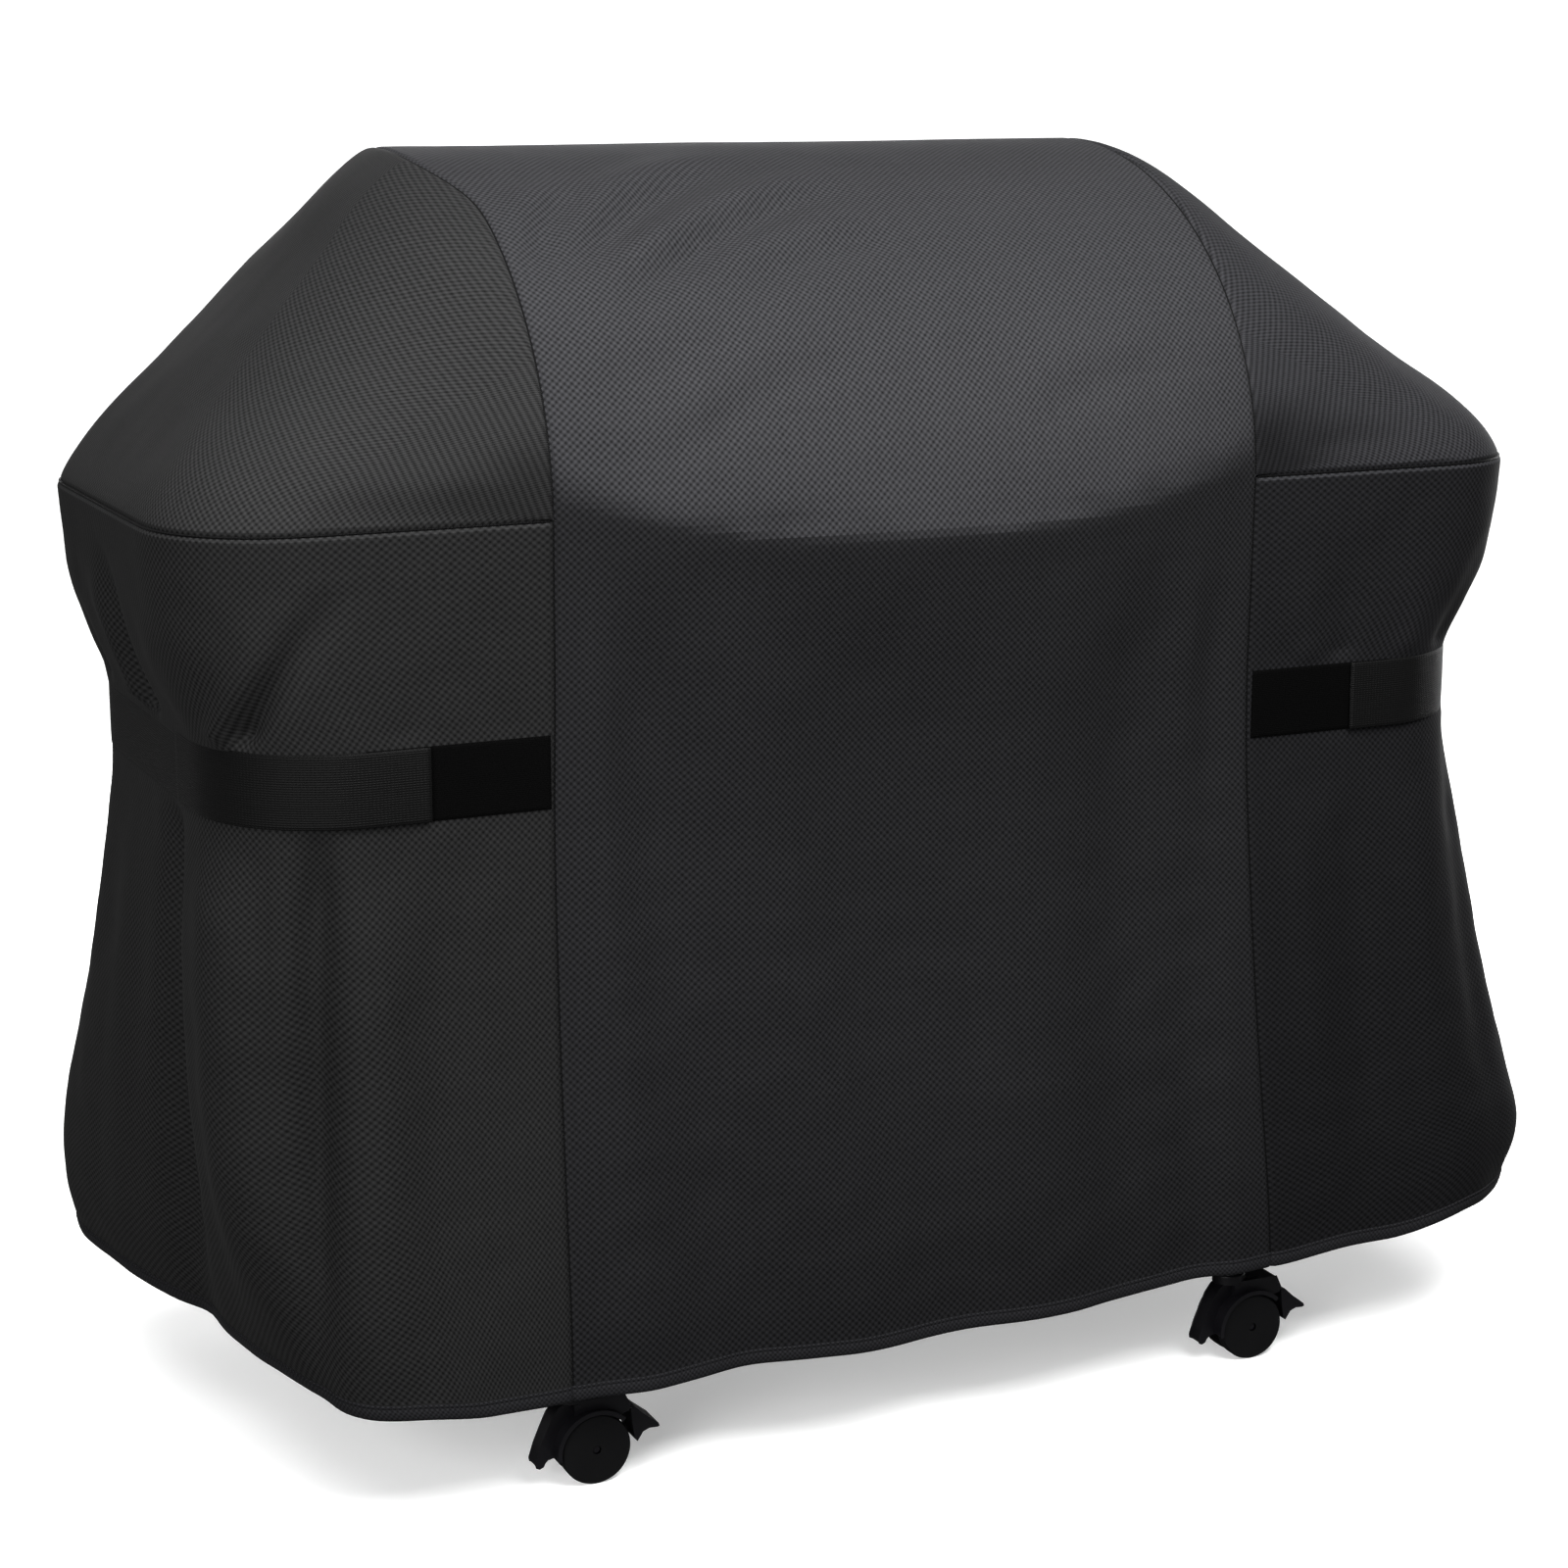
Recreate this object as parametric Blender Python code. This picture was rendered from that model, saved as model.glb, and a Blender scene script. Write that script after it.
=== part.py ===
"""Fitted grill cover on its caster stand, in metres, +Z up, +X to the right, front towards -Y.

The origin is on the floor, under the middle of the cover. The cover is five cloth panels,
their seams, a bound hem and two hook-and-loop straps. It hangs over a plain steel stand
with the outline of a three-burner grill, which rolls on four twin-wheel casters.
"""
import math

import bmesh
import bpy
from mathutils import Matrix, Vector

# Cloth and fits
CLOTH = 0.003            # thickness of the coated cloth, with its lining
FIT = 0.0004             # gap left between pieces that touch
SIDES = {"left": -1, "right": 1}

# Heights of the cover
HEM_Z = 0.105
BINDING_HEIGHT = 0.0135
STRAP_LOW = 0.6595
STRAP_HIGH = 0.7285
WAIST_LOW = 0.652
WAIST_HIGH = 0.736
SHOULDER_Z = 0.924
RIDGE_Z = 1.244

# Plan outline of the cover at each height: half width on the left and on the right, front, back,
# front corner radius on the left and on the right, and how far the left side toes in at the front
OUTLINE = {
    HEM_Z: (0.742, 0.756, -0.3530, 0.3530, 0.190, 0.150, 0.090),
    0.160: (0.748, 0.764, -0.349, 0.348, 0.185, 0.150, 0.080),
    0.400: (0.710, 0.721, -0.321, 0.303, 0.150, 0.140, 0.030),
    WAIST_LOW: (0.672, 0.662, -0.298, 0.262, 0.120, 0.120, 0.0),
    WAIST_HIGH: (0.672, 0.662, -0.298, 0.262, 0.120, 0.120, 0.0),
    0.812: (0.701, 0.701, -0.300, 0.263, 0.120, 0.120, 0.0),
    SHOULDER_Z: (0.716, 0.724, -0.302, 0.264, 0.120, 0.120, 0.0),
}
BACK_CORNER = 0.120
CLOTH_ROWS = (HEM_Z, HEM_Z + BINDING_HEIGHT, 0.160, 0.280, 0.400, 0.520, WAIST_LOW, WAIST_HIGH,
              0.772, 0.812, 0.872, SHOULDER_Z)

# Centre panel, which runs up the front, over the lid and down the back
CENTRE_HALF = 0.370      # half its width from the waist up
CENTRE_HALF_HEM = 0.384
RIDGE_Y = 0.0886
CENTRE_COLUMNS = 8
DOME_STEPS_FRONT = 10
DOME_STEPS_BACK = 6
LID_EDGE_REACH = 0.040   # how far the lid's front edge pushes the cloth forward
LID_EDGE_Z = 0.927       # height of that fold at the centre seams
LID_EDGE_BOW = 0.055     # how much lower it is in the middle
LID_EDGE_FADE_UP = 0.26
LID_EDGE_FADE_DOWN = 0.42

# Shoulder panels, from the centre seam down to the shoulder seam
RIDGE_END_ROUND = 0.055
LID_END_ROUND = 0.012
SHOULDER_ROUND = 0.036
SHOULDER_STEPS = 7

# Seams: the sewn allowance stands inwards like a fin
FIN_HALF = 0.0012
FIN_NEAR = 0.0070
FIN_FAR = 0.0150

# Hem binding
BINDING_THICK = 0.0014

# Straps
WEBBING = 0.002
PATCH = 0.0012
STRAP_FREE_END_X = 0.490
STRAP_HINGE_X = {"left": 0.554, "right": 0.544}
STRAP_HINGE_GAP = 0.0015
STRAP_BACK_X = 0.420
PATCH_INNER_X = 0.3745
PATCH_TO_HINGE = 0.006
PATCH_INSET = 0.001
TAB_OFFSET = PATCH * 2 + FIT * 3     # from the cloth to the inner face of the webbing

# Stand inside the cover
SHELF_Z = (0.128, 0.150)
SHELF_HALF = 0.400
SHELF_FRONT = -0.326
SHELF_BACK = 0.246
SHELF_RIM = 0.018
SHELF_FLOOR = 0.004
POST = 0.025
POST_X = 0.345
POST_Y = {"front": -0.258, "back": 0.218}
RAIL_Z = (0.874, 0.898)
SIDE_TABLE_Z = (0.876, 0.900)
SIDE_TABLE_X = (0.3605, 0.700)
SIDE_TABLE_Y = (-0.272, 0.234)
SIDE_TABLE_ROUND = 0.100
HOOD_CLEAR = 0.016       # from the cloth's outer face to the hood
HOOD_THICK = 0.003
HOOD_HALF = 0.356
HOOD_FOOT_Z = 0.8995

# Casters
CASTER_X = 0.367
CASTER_Y = {"front": -0.302, "back": 0.222}
TRAIL = 0.018            # from the swivel axis to the wheel's axle, towards +X
WHEEL_R = 0.035
WHEEL_WIDTH = 0.0165
WEB_HALF = 0.0042        # half thickness of the housing's web between the wheels
WEB_FOOT_R = 0.013
AXLE_R = 0.0036
BORE_R = 0.0040
HUB_R = 0.021
ARCH_R = 0.0372          # the housing's arch over the wheels
ARCH_START = math.radians(38)
ARCH_END = math.radians(200)
HOUSING_HALF = 0.0245    # half width of the housing
HOUSING_TOP = 0.050      # above the axle
NECK_R = 0.0170
NECK_TOP = 0.0930
STEM_R = 0.0055
STEM_COLLAR_R = 0.0125
STEM_COLLAR = 0.005
PEDAL_PIVOT = (0.0400, 0.0290)       # from the axle: towards +X, up
PEDAL_HALF = 0.0165
WHEEL_SEGMENTS = 24
ROUND_SEGMENTS = 16


# ---------------------------------------------------------------- small helpers

def clear_scene():
    for obj in list(bpy.data.objects):
        bpy.data.objects.remove(obj, do_unlink=True)


def make_material(name, colour, roughness, metallic=0.0):
    material = bpy.data.materials.new(name)
    material.use_nodes = True
    shader = material.node_tree.nodes["Principled BSDF"]
    shader.inputs["Base Color"].default_value = (*colour, 1.0)
    shader.inputs["Roughness"].default_value = roughness
    shader.inputs["Metallic"].default_value = metallic
    material.diffuse_color = (*colour, 1.0)
    return material


def add_object(name, bm, colour, roughness, metallic=0.0, smooth=True):
    """Turn a bmesh into an object with its own material and outward faces."""
    bmesh.ops.recalc_face_normals(bm, faces=bm.faces)
    mesh = bpy.data.meshes.new(name)
    bm.to_mesh(mesh)
    bm.free()
    if smooth:
        mesh.shade_smooth()
        mesh.set_sharp_from_angle(angle=math.radians(35))
    mesh.materials.append(make_material(name, colour, roughness, metallic))
    obj = bpy.data.objects.new(name, mesh)
    bpy.context.scene.collection.objects.link(obj)
    return obj


def interpolate(table, height):
    """Read a row of values at a height, on smooth curves through the table's rows."""
    keys = sorted(table)
    height = min(max(height, keys[0]), keys[-1])
    index = max(i for i in range(len(keys) - 1) if keys[i] <= height)
    low, high = keys[index], keys[index + 1]
    t = (height - low) / (high - low)

    def slope(i, column):
        before, after = max(i - 1, 0), min(i + 1, len(keys) - 1)
        return (table[keys[after]][column] - table[keys[before]][column]) / (keys[after] - keys[before])

    values = []
    for column in range(len(table[low])):
        start, end = table[low][column], table[high][column]
        if low == WAIST_LOW:
            values.append(start + (end - start) * t)
            continue
        m0, m1 = slope(index, column) * (high - low), slope(index + 1, column) * (high - low)
        values.append(start * (2 * t**3 - 3 * t**2 + 1) + end * (3 * t**2 - 2 * t**3)
                      + m0 * (t**3 - 2 * t**2 + t) + m1 * (t**3 - t**2))
    return values


def centre_half(height):
    """Half width of the centre panel, which widens from the waist to the hem."""
    down = max(0.0, (WAIST_HIGH - height) / (WAIST_HIGH - HEM_Z))
    return CENTRE_HALF + (CENTRE_HALF_HEM - CENTRE_HALF) * down


# ---------------------------------------------------------------- outlines of the cover

FRONT_STEPS = 3
CORNER_STEPS = 6
SIDE_STEPS = 4


def side_outline(height, side):
    """Half width, front, back, front corner radius and toe-in of one side at a height."""
    left, right, front, back, left_radius, right_radius, toe = interpolate(OUTLINE, height)
    if side == "left":
        return left, front, back, left_radius, toe
    return right, front, back, right_radius, 0.0


def corner_arc(centre_x, centre_y, radius, start, height):
    """Points and outward directions round a quarter circle that starts at an angle."""
    arc_points = []
    for i in range(CORNER_STEPS + 1):
        angle = start + math.pi / 2 * i / CORNER_STEPS
        outward = Vector((math.cos(angle), math.sin(angle), 0))
        arc_points.append((Vector((centre_x, centre_y, height)) + outward * radius, outward))
    return arc_points


def side_path(height, side, start_x=None, end_x=None):
    """Points and outward directions round one side, from the front centre seam to the back one.

    X counts away from the middle on both sides, so the left side's solids are mirrored later.
    """
    half, front, back, radius, toe = side_outline(height, side)
    start_x = centre_half(height) if start_x is None else start_x
    end_x = centre_half(height) if end_x is None else end_x
    front_half = half - toe
    path = []
    for i in range(FRONT_STEPS):
        x = start_x + (front_half - radius - start_x) * i / FRONT_STEPS
        path.append((Vector((x, front, height)), Vector((0, -1, 0))))
    path += corner_arc(front_half - radius, front + radius, radius, -math.pi / 2, height)
    for i in range(1, SIDE_STEPS):
        t = i / SIDE_STEPS
        y = front + radius + (back - BACK_CORNER - front - radius) * t
        path.append((Vector((front_half + toe * t, y, height)), Vector((1, 0, 0))))
    path += corner_arc(half - BACK_CORNER, back - BACK_CORNER, BACK_CORNER, 0.0, height)
    for i in range(1, FRONT_STEPS + 1):
        x = half - BACK_CORNER + (end_x - half + BACK_CORNER) * i / FRONT_STEPS
        path.append((Vector((x, back, height)), Vector((0, 1, 0))))
    return path


def dome_point(angle):
    """A point of the lid line in the YZ plane: 0 is the front shoulder, pi the back one."""
    front, back = interpolate(OUTLINE, SHOULDER_Z)[2:4]
    reach = RIDGE_Y - front if angle < math.pi / 2 else back - RIDGE_Y
    return RIDGE_Y - reach * math.cos(angle), SHOULDER_Z + (RIDGE_Z - SHOULDER_Z) * math.sin(angle)


def dome_normal(angle):
    front, back = interpolate(OUTLINE, SHOULDER_Z)[2:4]
    reach = RIDGE_Y - front if angle < math.pi / 2 else back - RIDGE_Y
    return Vector((0, -math.cos(angle) / reach, math.sin(angle) / (RIDGE_Z - SHOULDER_Z))).normalized()


def dome_angles():
    front = [math.pi / 2 * i / DOME_STEPS_FRONT for i in range(1, DOME_STEPS_FRONT + 1)]
    back = [math.pi / 2 * (1 + i / DOME_STEPS_BACK) for i in range(1, DOME_STEPS_BACK)]
    return front + back


def seam_profile():
    """The centre seam's line from the front hem over the ridge to the back hem: y, z and normal."""
    profile = []
    for height in CLOTH_ROWS:
        profile.append((interpolate(OUTLINE, height)[2], height, Vector((0, -1, 0))))
    for angle in dome_angles():
        y, z = dome_point(angle)
        profile.append((y, z, dome_normal(angle)))
    for height in reversed(CLOTH_ROWS):
        profile.append((interpolate(OUTLINE, height)[3], height, Vector((0, 1, 0))))
    return profile


# ---------------------------------------------------------------- solids from grids

def flatten(normal, axes):
    """Drop the given axes from a normal, so that neighbours meet edge to edge."""
    for axis in axes:
        normal[axis] = 0.0
    return normal.normalized()


def grid_normals(grid):
    """Outward normals of a grid whose rows go up or back and whose columns go away from the centre."""
    rows, columns = len(grid), len(grid[0])
    normals = []
    for i in range(rows):
        line = []
        for j in range(columns):
            along = grid[min(i + 1, rows - 1)][j] - grid[max(i - 1, 0)][j]
            across = grid[i][min(j + 1, columns - 1)] - grid[i][max(j - 1, 0)]
            line.append(across.cross(along).normalized())
        normals.append(line)
    return normals


def shell(grid, inner, mirror=1, closed=False):
    """A closed solid between two grids of the same size; closed joins the last row to the first."""
    bm = bmesh.new()
    rows, columns = len(grid), len(grid[0])
    flip = Vector((mirror, 1, 1))
    outer_verts = [[bm.verts.new(p * flip) for p in line] for line in grid]
    inner_verts = [[bm.verts.new(p * flip) for p in line] for line in inner]
    last = rows if closed else rows - 1
    for i in range(last):
        k = (i + 1) % rows
        for j in range(columns - 1):
            bm.faces.new((outer_verts[i][j], outer_verts[i][j + 1], outer_verts[k][j + 1], outer_verts[k][j]))
            bm.faces.new((inner_verts[k][j], inner_verts[k][j + 1], inner_verts[i][j + 1], inner_verts[i][j]))
        for j in (0, columns - 1):
            bm.faces.new((outer_verts[i][j], outer_verts[k][j], inner_verts[k][j], inner_verts[i][j]))
    if not closed:
        for i in (0, rows - 1):
            for j in range(columns - 1):
                bm.faces.new((outer_verts[i][j], outer_verts[i][j + 1],
                              inner_verts[i][j + 1], inner_verts[i][j]))
    bmesh.ops.remove_doubles(bm, verts=bm.verts, dist=0.00001)
    return bm


def bar(sections, mirror=1, closed=False):
    """A closed solid swept through four-cornered sections."""
    return shell([[s[0], s[1]] for s in sections], [[s[3], s[2]] for s in sections], mirror, closed)


def add_box(bm, low, high):
    """Add a closed box to a bmesh."""
    centre = (Vector(low) + Vector(high)) / 2
    size = Vector(high) - Vector(low)
    matrix = Matrix.Translation(centre) @ Matrix.Diagonal((*size, 1.0))
    bmesh.ops.create_cube(bm, size=1.0, matrix=matrix)


def box_object(name, low, high, colour, roughness, metallic=0.0, bevel=0.0):
    bm = bmesh.new()
    add_box(bm, low, high)
    obj = add_object(name, bm, colour, roughness, metallic, smooth=False)
    if bevel:
        modifier = obj.modifiers.new("edges", "BEVEL")
        modifier.width = bevel
        modifier.segments = 2
    return obj


def prism(outline, low, high, axis):
    """A closed solid with a flat outline, given in the other two axes, from low to high along one axis."""
    bm = bmesh.new()
    rings = []
    for level in (low, high):
        ring = []
        for a, b in outline:
            point = [a, b]
            point.insert(axis, level)
            ring.append(bm.verts.new(point))
        rings.append(ring)
    count = len(outline)
    bm.faces.new(rings[0])
    bm.faces.new(list(reversed(rings[1])))
    for i in range(count):
        k = (i + 1) % count
        bm.faces.new((rings[0][i], rings[1][i], rings[1][k], rings[0][k]))
    return bm


def turned(profile, segments, axis="Z"):
    """A closed solid turned from (radius, height) points listed right round its section."""
    bm = bmesh.new()
    rings = []
    for i in range(segments):
        angle = 2 * math.pi * i / segments
        rings.append([bm.verts.new((r * math.cos(angle), r * math.sin(angle), h)) for r, h in profile])
    count = len(profile)
    for i in range(segments):
        k = (i + 1) % segments
        for j in range(count):
            m = (j + 1) % count
            bm.faces.new((rings[i][j], rings[k][j], rings[k][m], rings[i][m]))
    bmesh.ops.remove_doubles(bm, verts=bm.verts, dist=0.00001)
    bmesh.ops.dissolve_degenerate(bm, edges=bm.edges, dist=0.00001)
    if axis == "Y":
        bmesh.ops.rotate(bm, verts=bm.verts, matrix=Matrix.Rotation(math.pi / 2, 3, "X"))
    return bm


def cylinder(radius, low, high, segments=ROUND_SEGMENTS):
    """A closed upright cylinder."""
    bm = bmesh.new()
    matrix = Matrix.Translation((0, 0, (low + high) / 2))
    bmesh.ops.create_cone(bm, cap_ends=True, segments=segments, radius1=radius, radius2=radius,
                          depth=high - low, matrix=matrix)
    return bm


def combine(target, bm, operation):
    """Join or cut a mesh on the target with an exact Boolean against a hidden tool."""
    tool = add_object(target.name + "_tool_" + str(len(target.modifiers)), bm, (0.5, 0.5, 0.5), 0.5)
    tool.hide_render = True
    tool.display_type = "WIRE"
    tool.parent = target
    modifier = target.modifiers.new(operation.lower(), "BOOLEAN")
    modifier.operation = operation
    modifier.solver = "EXACT"
    modifier.object = tool


# ---------------------------------------------------------------- cover: cloth panels

CLOTH_COLOUR = (0.030, 0.030, 0.032)


def lid_edge_push(x_ratio, height):
    """How far the lid's bowed front edge pushes the centre panel forward."""
    across = 1.0 - x_ratio * x_ratio
    fold = LID_EDGE_Z - LID_EDGE_BOW * across
    if height >= fold:
        fade = max(0.0, 1.0 - (height - fold) / LID_EDGE_FADE_UP) ** 1.3
    else:
        fade = max(0.0, 1.0 - (fold - height) / LID_EDGE_FADE_DOWN) ** 2.2
    return LID_EDGE_REACH * across * fade


def centre_panel():
    grid = []
    normals = []
    for y, z, normal in seam_profile():
        line, directions = [], []
        for j in range(CENTRE_COLUMNS + 1):
            ratio = 2 * j / CENTRE_COLUMNS - 1
            x = (centre_half(z) - FIT) * ratio
            push = lid_edge_push(ratio, z) if y < 0 else 0.0
            line.append(Vector((x, y - push, z)))
            directions.append(normal)
        grid.append(line)
        normals.append(directions)
    inner = [[p - n * CLOTH for p, n in zip(line, directions)] for line, directions in zip(grid, normals)]
    add_object("centre_panel", shell(grid, inner), CLOTH_COLOUR, 0.75)


def skirt(side):
    """Cloth from the hem up to the shoulder seam, round one side from centre seam to centre seam."""
    grid, inner = [], []
    for height in CLOTH_ROWS:
        level = min(height, SHOULDER_Z - FIT)
        path = side_path(height, side, centre_half(height) + FIT, centre_half(height) + FIT)
        grid.append([Vector((p.x, p.y, level)) for p, n in path])
        inner.append([Vector((p.x, p.y, level)) - n * CLOTH for p, n in path])
    add_object("skirt_" + side, shell(grid, inner, SIDES[side]), CLOTH_COLOUR, 0.75)


def smooth_leg(controls, w):
    """A point on a clamped quadratic B-spline through the control points, w from 0 to 1."""
    spans = len(controls) - 2
    position = min(w * spans, spans - 1e-9)
    i = int(position)
    t = position - i
    start = controls[i] if i == 0 else (controls[i] + controls[i + 1]) / 2
    end = controls[i + 2] if i == spans - 1 else (controls[i + 1] + controls[i + 2]) / 2
    return start * (1 - t)**2 + controls[i + 1] * 2 * t * (1 - t) + end * t**2


def shoulder_angles():
    """The lid line's angle that each point of the shoulder seam is pulled tight to."""
    corner_start, corner_end = math.radians(26), math.radians(76)
    front = [corner_start * i / FRONT_STEPS for i in range(FRONT_STEPS)]
    corner = [corner_start + (corner_end - corner_start) * i / CORNER_STEPS for i in range(CORNER_STEPS + 1)]
    side = [corner_end + (math.pi - 2 * corner_end) * i / SIDE_STEPS for i in range(1, SIDE_STEPS)]
    half = front + corner
    return half + side + [math.pi - angle for angle in reversed(half)]


def shoulder_grid(side):
    """A shoulder panel: each row goes from the centre seam out to the shoulder seam."""
    path = side_path(SHOULDER_Z, side, CENTRE_HALF + FIT, CENTRE_HALF + FIT)
    grid = []
    for (foot, _), angle in zip(path, shoulder_angles()):
        y, z = dome_point(angle)
        top = Vector((CENTRE_HALF + FIT, y, z))
        foot = Vector((foot.x, foot.y, SHOULDER_Z + FIT))
        top.z = max(top.z, foot.z)
        rise = min(1.0, (top.z - foot.z) / 0.2)
        round_here = LID_END_ROUND + (RIDGE_END_ROUND - LID_END_ROUND) * math.sin(angle)**6
        ridge_end = top + Vector((round_here * rise, 0, 0))
        corner = foot + Vector((0, 0, SHOULDER_ROUND * rise))
        controls = [top, ridge_end, (ridge_end + corner) / 2, corner, foot]
        grid.append([smooth_leg(controls, j / SHOULDER_STEPS) for j in range(SHOULDER_STEPS + 1)])
    return grid


def shoulder_panel(side):
    grid = shoulder_grid(side)
    normals = grid_normals(grid)
    last = len(grid) - 1
    inner = []
    for i, line in enumerate(grid):
        inner_line = []
        for j, point in enumerate(line):
            normal = normals[i][j].copy()
            if i in (0, last):
                normal = Vector((0, -1 if i == 0 else 1, 0))
            elif j == 0:
                normal = flatten(normal, (0,))
            elif j == len(line) - 1:
                normal = flatten(normal, (2,))
            inner_line.append(point - normal * CLOTH)
        inner.append(inner_line)
    add_object("shoulder_panel_" + side, shell(grid, inner, SIDES[side]), CLOTH_COLOUR, 0.75)


def centre_seam(side):
    """The sewn allowance inside a centre seam, from hem to hem over the ridge."""
    sections = []
    for y, z, normal in seam_profile():
        x = centre_half(z)
        near = Vector((0, y, z)) - normal * FIN_NEAR
        far = Vector((0, y, z)) - normal * FIN_FAR
        sections.append([near + Vector((x - FIN_HALF, 0, 0)), near + Vector((x + FIN_HALF, 0, 0)),
                         far + Vector((x + FIN_HALF, 0, 0)), far + Vector((x - FIN_HALF, 0, 0))])
    add_object("centre_seam_" + side, bar(sections, SIDES[side]), (0.012, 0.012, 0.013), 0.8)


def shoulder_seam(side):
    """The sewn allowance inside a shoulder seam."""
    clear = CENTRE_HALF + FIN_HALF + 0.002
    sections = []
    for point, outward in side_path(SHOULDER_Z, side, clear, clear):
        near = point - outward * FIN_NEAR
        far = point - outward * FIN_FAR
        rise = Vector((0, 0, FIN_HALF))
        sections.append([near - rise, near + rise, far + rise, far - rise])
    add_object("shoulder_seam_" + side, bar(sections, SIDES[side]), (0.012, 0.012, 0.013), 0.8)


def hem_binding():
    """The bound edge: one band round the bottom of all the panels."""
    rings = []
    for height, level in ((HEM_Z, HEM_Z - 0.0005), (HEM_Z + BINDING_HEIGHT, HEM_Z + BINDING_HEIGHT)):
        loop = side_path(height, "right")
        loop += [(Vector((-p.x, p.y, p.z)), Vector((-n.x, n.y, n.z)))
                 for p, n in reversed(side_path(height, "left"))]
        rings.append([(Vector((p.x, p.y, level)), n) for p, n in loop])
    outer, inner = [], []
    for (low, n), (high, _) in zip(*rings):
        outer.append([low + n * (FIT + BINDING_THICK), high + n * (FIT + BINDING_THICK)])
        inner.append([low + n * FIT, high + n * FIT])
    add_object("hem_binding", shell(outer, inner, closed=True), (0.026, 0.026, 0.028), 0.7)


# ---------------------------------------------------------------- cover: straps

STRAP_COLOUR = (0.014, 0.014, 0.014)
PATCH_COLOUR = (0.006, 0.006, 0.006)


def strap_webbing(side):
    """The sewn length of the strap, from the back of the cover round to the tab's fold."""
    hinge_x = STRAP_HINGE_X[side] + WEBBING
    front = side_outline(WAIST_LOW, side)[1]
    corner = side_path(WAIST_LOW, side, hinge_x, STRAP_BACK_X)[FRONT_STEPS + 1:]
    path = [(Vector((hinge_x, front, 0)), Vector((0, -1, 0)))] + corner
    sections = []
    for i, (point, outward) in enumerate(path):
        lift = FIT + (TAB_OFFSET - FIT) * max(0.0, 1.0 - i / CORNER_STEPS)
        near = point + outward * lift
        far = point + outward * (lift + WEBBING)
        sections.append([Vector((near.x, near.y, STRAP_LOW)), Vector((near.x, near.y, STRAP_HIGH)),
                         Vector((far.x, far.y, STRAP_HIGH)), Vector((far.x, far.y, STRAP_LOW))])
    add_object("strap_webbing_" + side, bar(sections, SIDES[side]), STRAP_COLOUR, 0.6)


def strap_front_pieces(side):
    """The tab that peels off, the loop patch on its inner face and the hook patch on the cloth."""
    sign = SIDES[side]
    front = side_outline(WAIST_LOW, side)[1]
    hinge_x = STRAP_HINGE_X[side]

    def layer(name, x_near, x_far, lift, thick, inset, colour, roughness):
        ends = sorted((sign * x_near, sign * x_far))
        low = (ends[0], front - lift - thick, STRAP_LOW + inset)
        high = (ends[1], front - lift, STRAP_HIGH - inset)
        return box_object(name + "_" + side, low, high, colour, roughness)

    layer("hook_patch", PATCH_INNER_X, hinge_x - PATCH_TO_HINGE, FIT, PATCH, 0.0, PATCH_COLOUR, 0.95)
    hinge = bpy.data.objects.new("strap_hinge_" + side, None)
    hinge.location = (sign * hinge_x, front - TAB_OFFSET - WEBBING / 2, (STRAP_LOW + STRAP_HIGH) / 2)
    bpy.context.scene.collection.objects.link(hinge)
    bpy.context.view_layer.update()
    tab = layer("strap_tab", STRAP_FREE_END_X, hinge_x - STRAP_HINGE_GAP, TAB_OFFSET, WEBBING, 0.0,
                STRAP_COLOUR, 0.6)
    loop = layer("loop_patch", STRAP_FREE_END_X + PATCH_INSET * 2, hinge_x - PATCH_TO_HINGE, TAB_OFFSET - FIT - PATCH,
                 PATCH, PATCH_INSET, PATCH_COLOUR, 0.95)
    for piece in (tab, loop):
        piece.parent = hinge
        piece.matrix_parent_inverse = hinge.matrix_world.inverted()


# ---------------------------------------------------------------- stand

STEEL_COLOUR = (0.045, 0.045, 0.048)


def bottom_shelf():
    """A shallow tray that carries the posts and the caster stems."""
    shelf = box_object("bottom_shelf", (-SHELF_HALF, SHELF_FRONT, SHELF_Z[0]),
                       (SHELF_HALF, SHELF_BACK, SHELF_Z[1]), STEEL_COLOUR, 0.5, 0.6)
    pocket = bmesh.new()
    inset = POST * 2 + SHELF_RIM
    add_box(pocket, (-SHELF_HALF + SHELF_RIM, SHELF_FRONT + inset, SHELF_Z[0] + SHELF_FLOOR),
            (SHELF_HALF - SHELF_RIM, SHELF_BACK - inset, SHELF_Z[1] + 0.01))
    combine(shelf, pocket, "DIFFERENCE")


def posts():
    half = POST / 2
    for end, y in POST_Y.items():
        for side, sign in SIDES.items():
            x = sign * POST_X
            box_object("post_" + end + "_" + side, (x - half, y - half, SHELF_Z[1] + FIT),
                       (x + half, y + half, RAIL_Z[0] - FIT), STEEL_COLOUR, 0.5, 0.6)


def top_rails():
    half = POST / 2
    span = POST_X + half
    for end, y in POST_Y.items():
        box_object("top_rail_" + end, (-span, y - half, RAIL_Z[0]), (span, y + half, RAIL_Z[1]),
                   STEEL_COLOUR, 0.5, 0.6)
    for side, sign in SIDES.items():
        x = sign * POST_X
        box_object("top_rail_" + side, (x - half, POST_Y["front"] + half + FIT, RAIL_Z[0]),
                   (x + half, POST_Y["back"] - half - FIT, RAIL_Z[1]), STEEL_COLOUR, 0.5, 0.6)


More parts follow.
